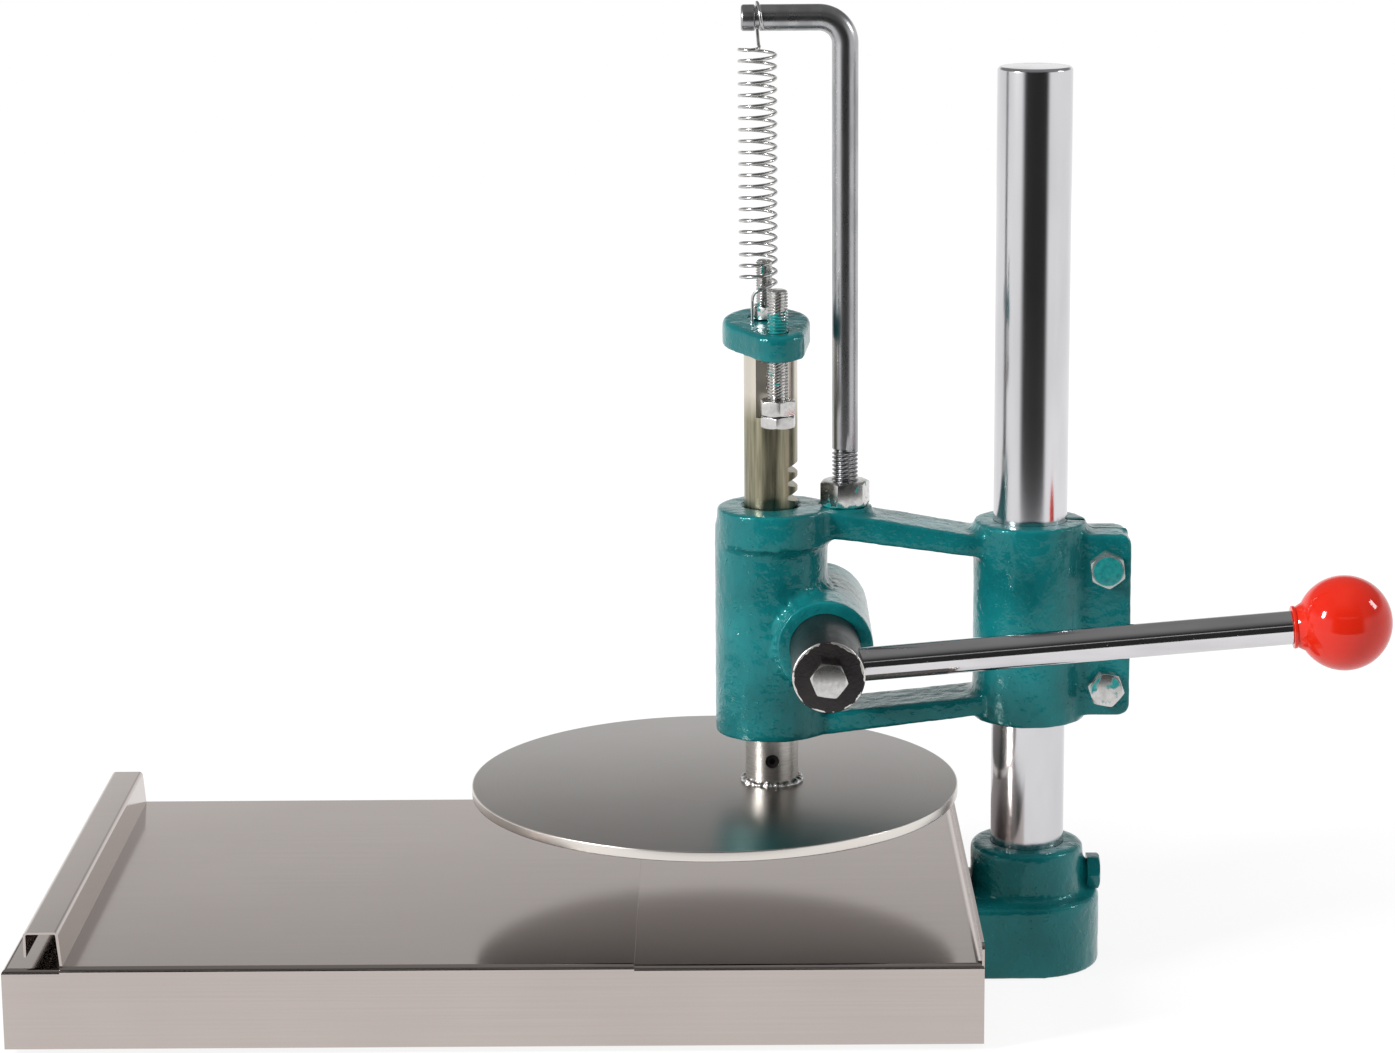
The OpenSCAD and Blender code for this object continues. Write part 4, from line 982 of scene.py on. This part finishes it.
# The level end: how far each point is cut in, past the groove's two sides to the rounded tip.
groove, groove_far = rod_end + GROOVE_AT, rod_end + GROOVE_AT + GROOVE_WIDTH
for x, cut_in in (
        (rod_x - ROD_BEND - 2, 0), (groove_far + 0.4, 0), (groove_far, 0.3),
        (groove_far - 0.3, GROOVE_DEPTH), (groove + 0.3, GROOVE_DEPTH), (groove, 0.3),
        (groove - 0.4, 0), (rod_end + 1.2, 0), (rod_end + 0.7, 0.12), (rod_end + 0.25, 0.5),
        (rod_end, 1.1)):
    path.append((x, 0, rod_level))
    radii.append(ROD_RADIUS - cut_in)
bar = swept(path, radii, THREAD_STEPS)

# The bar's loops start where the thread's do, and run the same way round.
first, second = (int(np.argmin(np.linalg.norm(bar[0] - thread[-1][i], axis=1))) for i in (0, 1))
way = 1 if (second - first) % THREAD_STEPS == 1 else -1
order = [(first + way * i) % THREAD_STEPS for i in range(THREAD_STEPS)]
install("hanger_rod", lofted([*thread, *[loop[order] for loop in bar]]), None, dull_chrome,
        "head", "chrome_plate", "spring_hanger")
install("hanger_lock_nut", hexagon(NUT_FLATS, nut_high.z - nut_low.z, ROD_RADIUS, 0.35),
        standing(rod_x, 0, nut_low.z, about_z=12),
        zinc_finish("zinc_nut_painted_edge", near_height(nut_low.z, 3)),
        "head", "zinc", "hanger_nut")

# %% [markdown]
# ## The return spring
#
# A close copy of the CAD's line, with more points to a turn and a rounder wire. Its top hooks on
# the hanger, which belongs to the head, and its foot is held in the cap, which goes down with the
# ram. It rides on no body here: its points are baked where they stand.

# %% Spring
WIRE, COIL_OUTER, TURNS, PER_TURN = 1.6, 19.0, 20.5, 36
SPRING_SHIFT, COIL_RISE, COIL_DROP = 5.7, 26.8, 15
CAP_RISE, CAP_THICK, HOOK_IN = 3.4, 12.5, 4
HOOK_X, HOOK_Y, HOOK_DROP = -3, -6.2, 8.1
SHANK_RISE, SHANK_TURN, SHANK_REACH = 2.2, radians(292), 1.4
HANGER_END, LOOP_GAP, LOOP_END, LOOP_SLANT = 13.5, 0.07, radians(225), 2.6
EASE_POINTS, LOOP_POINTS = 24, 48

_, ram_high, ram_middle = span("ram")
ram_x, ram_top = ram_middle.x, ram_high.z
coil_radius = (COIL_OUTER - WIRE) / 2
spring_x = ram_x - SPRING_SHIFT
coil_low, coil_high = ram_top + COIL_RISE, rod_level - COIL_DROP
pitch = (coil_high - coil_low) / TURNS
hook_low = ram_top + CAP_RISE + CAP_THICK / 2 - HOOK_IN
hook_turn, hook_reach = atan2(HOOK_Y, HOOK_X), hypot(HOOK_X, HOOK_Y)
bend_low, bend_high = coil_low - HOOK_DROP, coil_high + SHANK_RISE
loop_radius = ROD_RADIUS + WIRE / 2 + LOOP_GAP
loop_x = GROOVE_AT - HANGER_END + GROOVE_WIDTH / 2 + SPRING_SHIFT


def round_coil(angle, reach, height):
    """A point at an angle and a distance from the coil's axis."""
    return spring_x + reach * cos(angle), reach * sin(angle), height


# The foot rises straight from the cap and eases out to the coil.
wire = [(spring_x + HOOK_X, HOOK_Y, hook_low + (bend_low - hook_low) * t)
        for t in np.linspace(0, 0.97, 8)]
for i in range(EASE_POINTS):
    t = 1 - i / EASE_POINTS
    height = coil_low + (bend_low - coil_low) * t * t - pitch / 4 * t * (1 - t)
    wire.append(round_coil(hook_turn * (1 - (1 - t) ** 2),
                           coil_radius + (hook_reach - coil_radius) * t, height))
for i in range(int(TURNS * PER_TURN) + 1):
    wire.append(round_coil(2 * pi * i / PER_TURN, coil_radius,
                           coil_low + pitch * i / PER_TURN))
# The head end eases in to the coil's middle and goes over the hanger in a loop.
for i in range(1, EASE_POINTS + 1):
    t = i / EASE_POINTS
    wire.append(round_coil(pi + (SHANK_TURN - pi) * (1 - (1 - t) ** 2),
                           coil_radius + (SHANK_REACH - coil_radius) * t,
                           coil_high + (bend_high - coil_high) * t * t))
shank_start = np.array(wire[-1])
drop = rod_level - shank_start[2]
loop_start = atan2(-drop, shank_start[1]) + acos(loop_radius / hypot(shank_start[1], drop))


def loop_point(t):
    """A point of the loop over the hanger, from its start at 0 to its end at 1."""
    angle = loop_start + (LOOP_END - loop_start) * t
    return np.array([spring_x + loop_x + LOOP_SLANT * max(0, t - 0.5) * 2,
                     loop_radius * cos(angle), rod_level + loop_radius * sin(angle)])


wire += [tuple(shank_start + (loop_point(0) - shank_start) * i / 6) for i in range(1, 6)]
wire += [tuple(loop_point(i / LOOP_POINTS)) for i in range(LOOP_POINTS + 1)]
spring = install("return_spring_wire", lofted(swept(wire, WIRE / 2, 14)), None, drawn_wire,
                 None, "spring_wire", "return_spring", sharp=50)
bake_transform(spring)

# %% [markdown]
# ## The weld round the disc's socket
#
# A weld bead is a row of overlapping puddles. Its loops go round the socket, and both the bead's
# size and its height follow a wave with some unevenness.

# %% Weld bead
low, high, middle = span("weld_bead")
SOCKET_RADIUS, BEAD_WIDE, BEAD_TALL, PUDDLES = 13.0, 3.0, 2.7, 19
UNDER, INSIDE = 0.15, 0.4
BEAD_STEPS, BEAD_AROUND = 288, 14
loops = []
for i in range(BEAD_STEPS):
    turn = 2 * pi * i / BEAD_STEPS
    ripple = 0.5 + 0.5 * cos(PUDDLES * turn + 1.3 * sin(3 * turn))
    lump = noise.noise(Vector((3 * cos(turn), 3 * sin(turn), 5.1)))
    wide = BEAD_WIDE * (0.72 + 0.2 * ripple + 0.2 * lump)
    tall = BEAD_TALL * (0.7 + 0.25 * ripple + 0.25 * lump)
    points = []
    for j in range(BEAD_AROUND):
        angle = -pi / 2 + 2 * pi * j / BEAD_AROUND
        out = SOCKET_RADIUS - INSIDE + max(0, cos(angle)) * (wide + INSIDE)
        rise = low.z - UNDER + (tall + UNDER) * max(0, sin(angle))
        points.append((out * cos(turn), out * sin(turn), rise))
    loops.append(points)
install("socket_weld", lofted(loops, ring=True), standing(middle.x, middle.y), bare_weld,
        "ram", "weld_steel", "weld_bead", sharp=180)


# %% [markdown]
# ## Castings
#
# A sand casting has no sharp corners: the sand can't hold them, and the paint fills them further.
# So each casting is taken from its solid, has its machined holes filled, and is remeshed into
# small even cells. Pushing it out and back in fills its inner corners as a fillet does, and
# smoothing rounds its outer ones. Noise gives it the sand's lumps. The machined holes are cut
# last, so they stay true.

# %% Casting helpers
PLUG_GAP, SHOW_GAP = 0.25, 0.12


def solid_of(node, plugs):
    """A node's mesh with its holes filled by plugs, which are closed meshes laid over it."""
    work = mesh_of(node)
    for plug in plugs:
        work.from_mesh(plug)
    return mesh_from(work, node + "_cast")


def cast(mesh, cell, fillet):
    """The mesh in even cells, with its inner corners filled and its outer ones rounded."""
    remesh = ("REMESH", {"mode": "VOXEL", "voxel_size": cell * MM})
    return modified(
        mesh, remesh, ("SMOOTH", {"factor": 0.5, "iterations": 2}),
        ("DISPLACE", {"strength": fillet * MM, "mid_level": 0}), remesh,
        ("DISPLACE", {"strength": -fillet * MM, "mid_level": 0}),
        ("SMOOTH", {"factor": 0.5, "iterations": 4}))


def lumpy(mesh, waves, extra=None):
    """Moves each point along its normal by noise: waves are (size, depth) pairs in mm."""
    places, normals = (np.empty(len(mesh.vertices) * 3) for _ in "pn")
    mesh.vertices.foreach_get("co", places)
    mesh.vertices.foreach_get("normal", normals)
    places, normals = places.reshape(-1, 3), normals.reshape(-1, 3)
    for i, place in enumerate(places / MM):
        at = Vector(place)
        shift = sum(depth * noise.noise(at / size + Vector((7, 3, 5)) * size)
                    for size, depth in waves)
        if extra:
            shift += extra(at)
        places[i] += normals[i] * shift * MM
    mesh.vertices.foreach_set("co", places.ravel())
    mesh.update()
    return mesh


def cut(mesh, *cutters):
    """The mesh with these closed meshes taken out of it."""
    for cutter in cutters:
        tool = placed("cutter", cutter)
        mesh = modified(mesh, ("BOOLEAN", {"operation": "DIFFERENCE", "solver": "MANIFOLD",
                                           "object": tool}))
        bpy.data.objects.remove(tool)
    return mesh


def cone_between(lower, upper, at, steps=96):
    """A closed cone between two (radius, height) points, in place."""
    mesh = turned([(0, lower[1]), lower, upper, (0, upper[1])], steps)
    mesh.transform(at)
    return mesh


def rod_between(radius, low, high, at, steps=96):
    """A closed cylinder from one height to another, in place."""
    return cone_between((radius, low), (radius, high), at, steps)


def drill(bore, low, high, at, steps=96):
    """A cylinder that leaves a machined hole a little wider than its bore, to show a line."""
    return rod_between(bore + SHOW_GAP, low, high, at, steps)


def plug(bore, low, high, at):
    """A cylinder that fills a bore and reaches a little into the metal round it."""
    return rod_between(bore + PLUG_GAP, low, high, at)


def slab(low, high):
    """A closed box between two corners."""
    (x0, y0, z0), (x1, y1, z1) = low, high
    return lofted([[(x0, y0, z), (x1, y0, z), (x1, y1, z), (x0, y1, z)] for z in (z0, z1)])


# %% [markdown]
# The head's inner corner between the pinion's boss and the ram's housing was never dressed, and
# the sand broke away there. Extra noise is added where a point is near both of those cylinders.

# %% Head casting
low, high, _ = span("head_casting")
CLAMP_LOW, CLAMP_HIGH = low.z + 6.2, low.z + 104.8
BOSS_FRONT, HOUSING_RADIUS, BOSS_RADIUS = 40, 27.5, 23.3
RAM_BORE, POLE_BORE, PINION_BORE, JOURNAL_BORE = 13.05, 18.05, 17.2, 10.05
HANGER_BORE, M10_BORE, M8_BORE = ROD_RADIUS + 0.05, 5.05, 4.05
at_ram, at_pole, at_hanger = standing(ram_x), standing(pole_x), standing(rod_x)
at_bolts = [standing(bolt_x, 0, z, about_x=-90) for z in bolt_zs]
plugs = [
    plug(RAM_BORE, low.z, high.z, at_ram),
    plug(POLE_BORE, CLAMP_LOW, CLAMP_HIGH, at_pole),
    rod_between(PINION_BORE + 0.2, -BOSS_FRONT, BOSS_BACK, on_axle(0)),
    plug(HANGER_BORE, high.z - 13, high.z - 0.6, at_hanger),
    slab((pole_x + 12, -1.2, CLAMP_LOW + 3.6), (pole_x + 48, 1.2, CLAMP_LOW + 94)),
    *[plug(M10_BORE, -16.4, 11, at) for at in at_bolts],
]


def junction(at):
    """Deeper lumps where the boss meets the housing."""
    from_housing = abs(hypot(at.x - ram_x, at.y) - HOUSING_RADIUS - 1)
    from_boss = abs(hypot(at.x - axle_mm.x, at.z - axle_mm.z) - BOSS_RADIUS - 1)
    share = max(0, 1 - from_housing / 6) * max(0, 1 - from_boss / 6)
    return share * (1.3 * noise.noise(at / 2.6) + 0.35)


mouth = RAM_BORE + SHOW_GAP
head = lumpy(cast(solid_of("head_casting", plugs), 1.1, 1.8), [(11, 0.16), (4.2, 0.14)], junction)
head = cut(
    head,
    drill(RAM_BORE, low.z - 2, high.z + 2, at_ram),
    cone_between((mouth, high.z - 2), (mouth + 3, high.z + 1), at_ram),
    drill(POLE_BORE, CLAMP_LOW - 2, CLAMP_HIGH + 2, at_pole, 128),
    slab((pole_x, -1, CLAMP_LOW - 2), (pole_x + 60, 1, CLAMP_HIGH + 2)),
    drill(PINION_BORE, -BOSS_FRONT - 3, JOURNAL_END, on_axle(0)),
    drill(JOURNAL_BORE, 0, BOSS_BACK + 3, on_axle(0)),
    drill(HANGER_BORE, high.z - 12.6, high.z + 3, at_hanger),
    rod_between(NUT_FLATS / sqrt(3) + 0.6, high.z - 0.6, high.z + 3, at_hanger),
    *[drill(M10_BORE, -40, 40, at, 48) for at in at_bolts],
)
install("painted_head", head, None, casting_paint, "head", "green_paint", "head_casting", sharp=48)

# %% Column socket
low, high, _ = span("column_socket")
FIXING_Z = 17.1
at_set = standing(pole_x, 0, set_middle.z, about_y=90)
plugs = [
    plug(POLE_BORE, low.z + 0.2, high.z, at_pole),
    plug(M10_BORE, 0, high.x - pole_x, at_set),
    *[plug(M8_BORE, 0.2, 24, standing(low.x, y, FIXING_Z, about_y=90))
      for y in (-FIXING_Y, FIXING_Y)],
]
socket = lumpy(cast(solid_of("column_socket", plugs), 1.1, 2.0), [(11, 0.16), (4.2, 0.12)])
socket = cut(
    socket,
    slab((low.x - 5, -60, -5), (high.x + 5, 60, low.z + 0.02)),
    slab((low.x - 9, -60, -9), (low.x + 0.02, 60, high.z + 5)),
    drill(POLE_BORE, low.z - 8, high.z + 5, at_pole, 128),
    drill(M10_BORE, 0, 60, at_set, 48),
)
install("painted_socket", socket, None, casting_paint, "base", "green_paint", "column_socket",
        sharp=48)

# %% Ram cap
at_stud = standing(span("cap_stud")[2].x)
at_stop = standing(stop_middle.x, stop_middle.y)
at_hook = standing(spring_x + HOOK_X, HOOK_Y)
below, beyond, nut_seat = ram_top - 20, ram_top + 40, span("cap_nut")[0].z
cap = lumpy(cast(solid_of("ram_cap", []), 0.7, 1.0), [(9, 0.14), (3, 0.08)])
cap = cut(
    cap,
    drill(RAM_BORE, below, ram_top + 0.05, at_ram),
    drill(M8_BORE, below, beyond, at_stud, 48),
    rod_between(M8_FLATS / sqrt(3) + 0.6, nut_seat, nut_seat + 20, at_stud, 64),
    drill(M10_BORE, below, beyond, at_stop, 48),
    rod_between(WIRE / 2 + 0.2, hook_low - 2, hook_low + 20, at_hook, 24),
)
install("painted_cap", cap, None, casting_paint, "ram", "green_paint", "ram_cap", sharp=48)
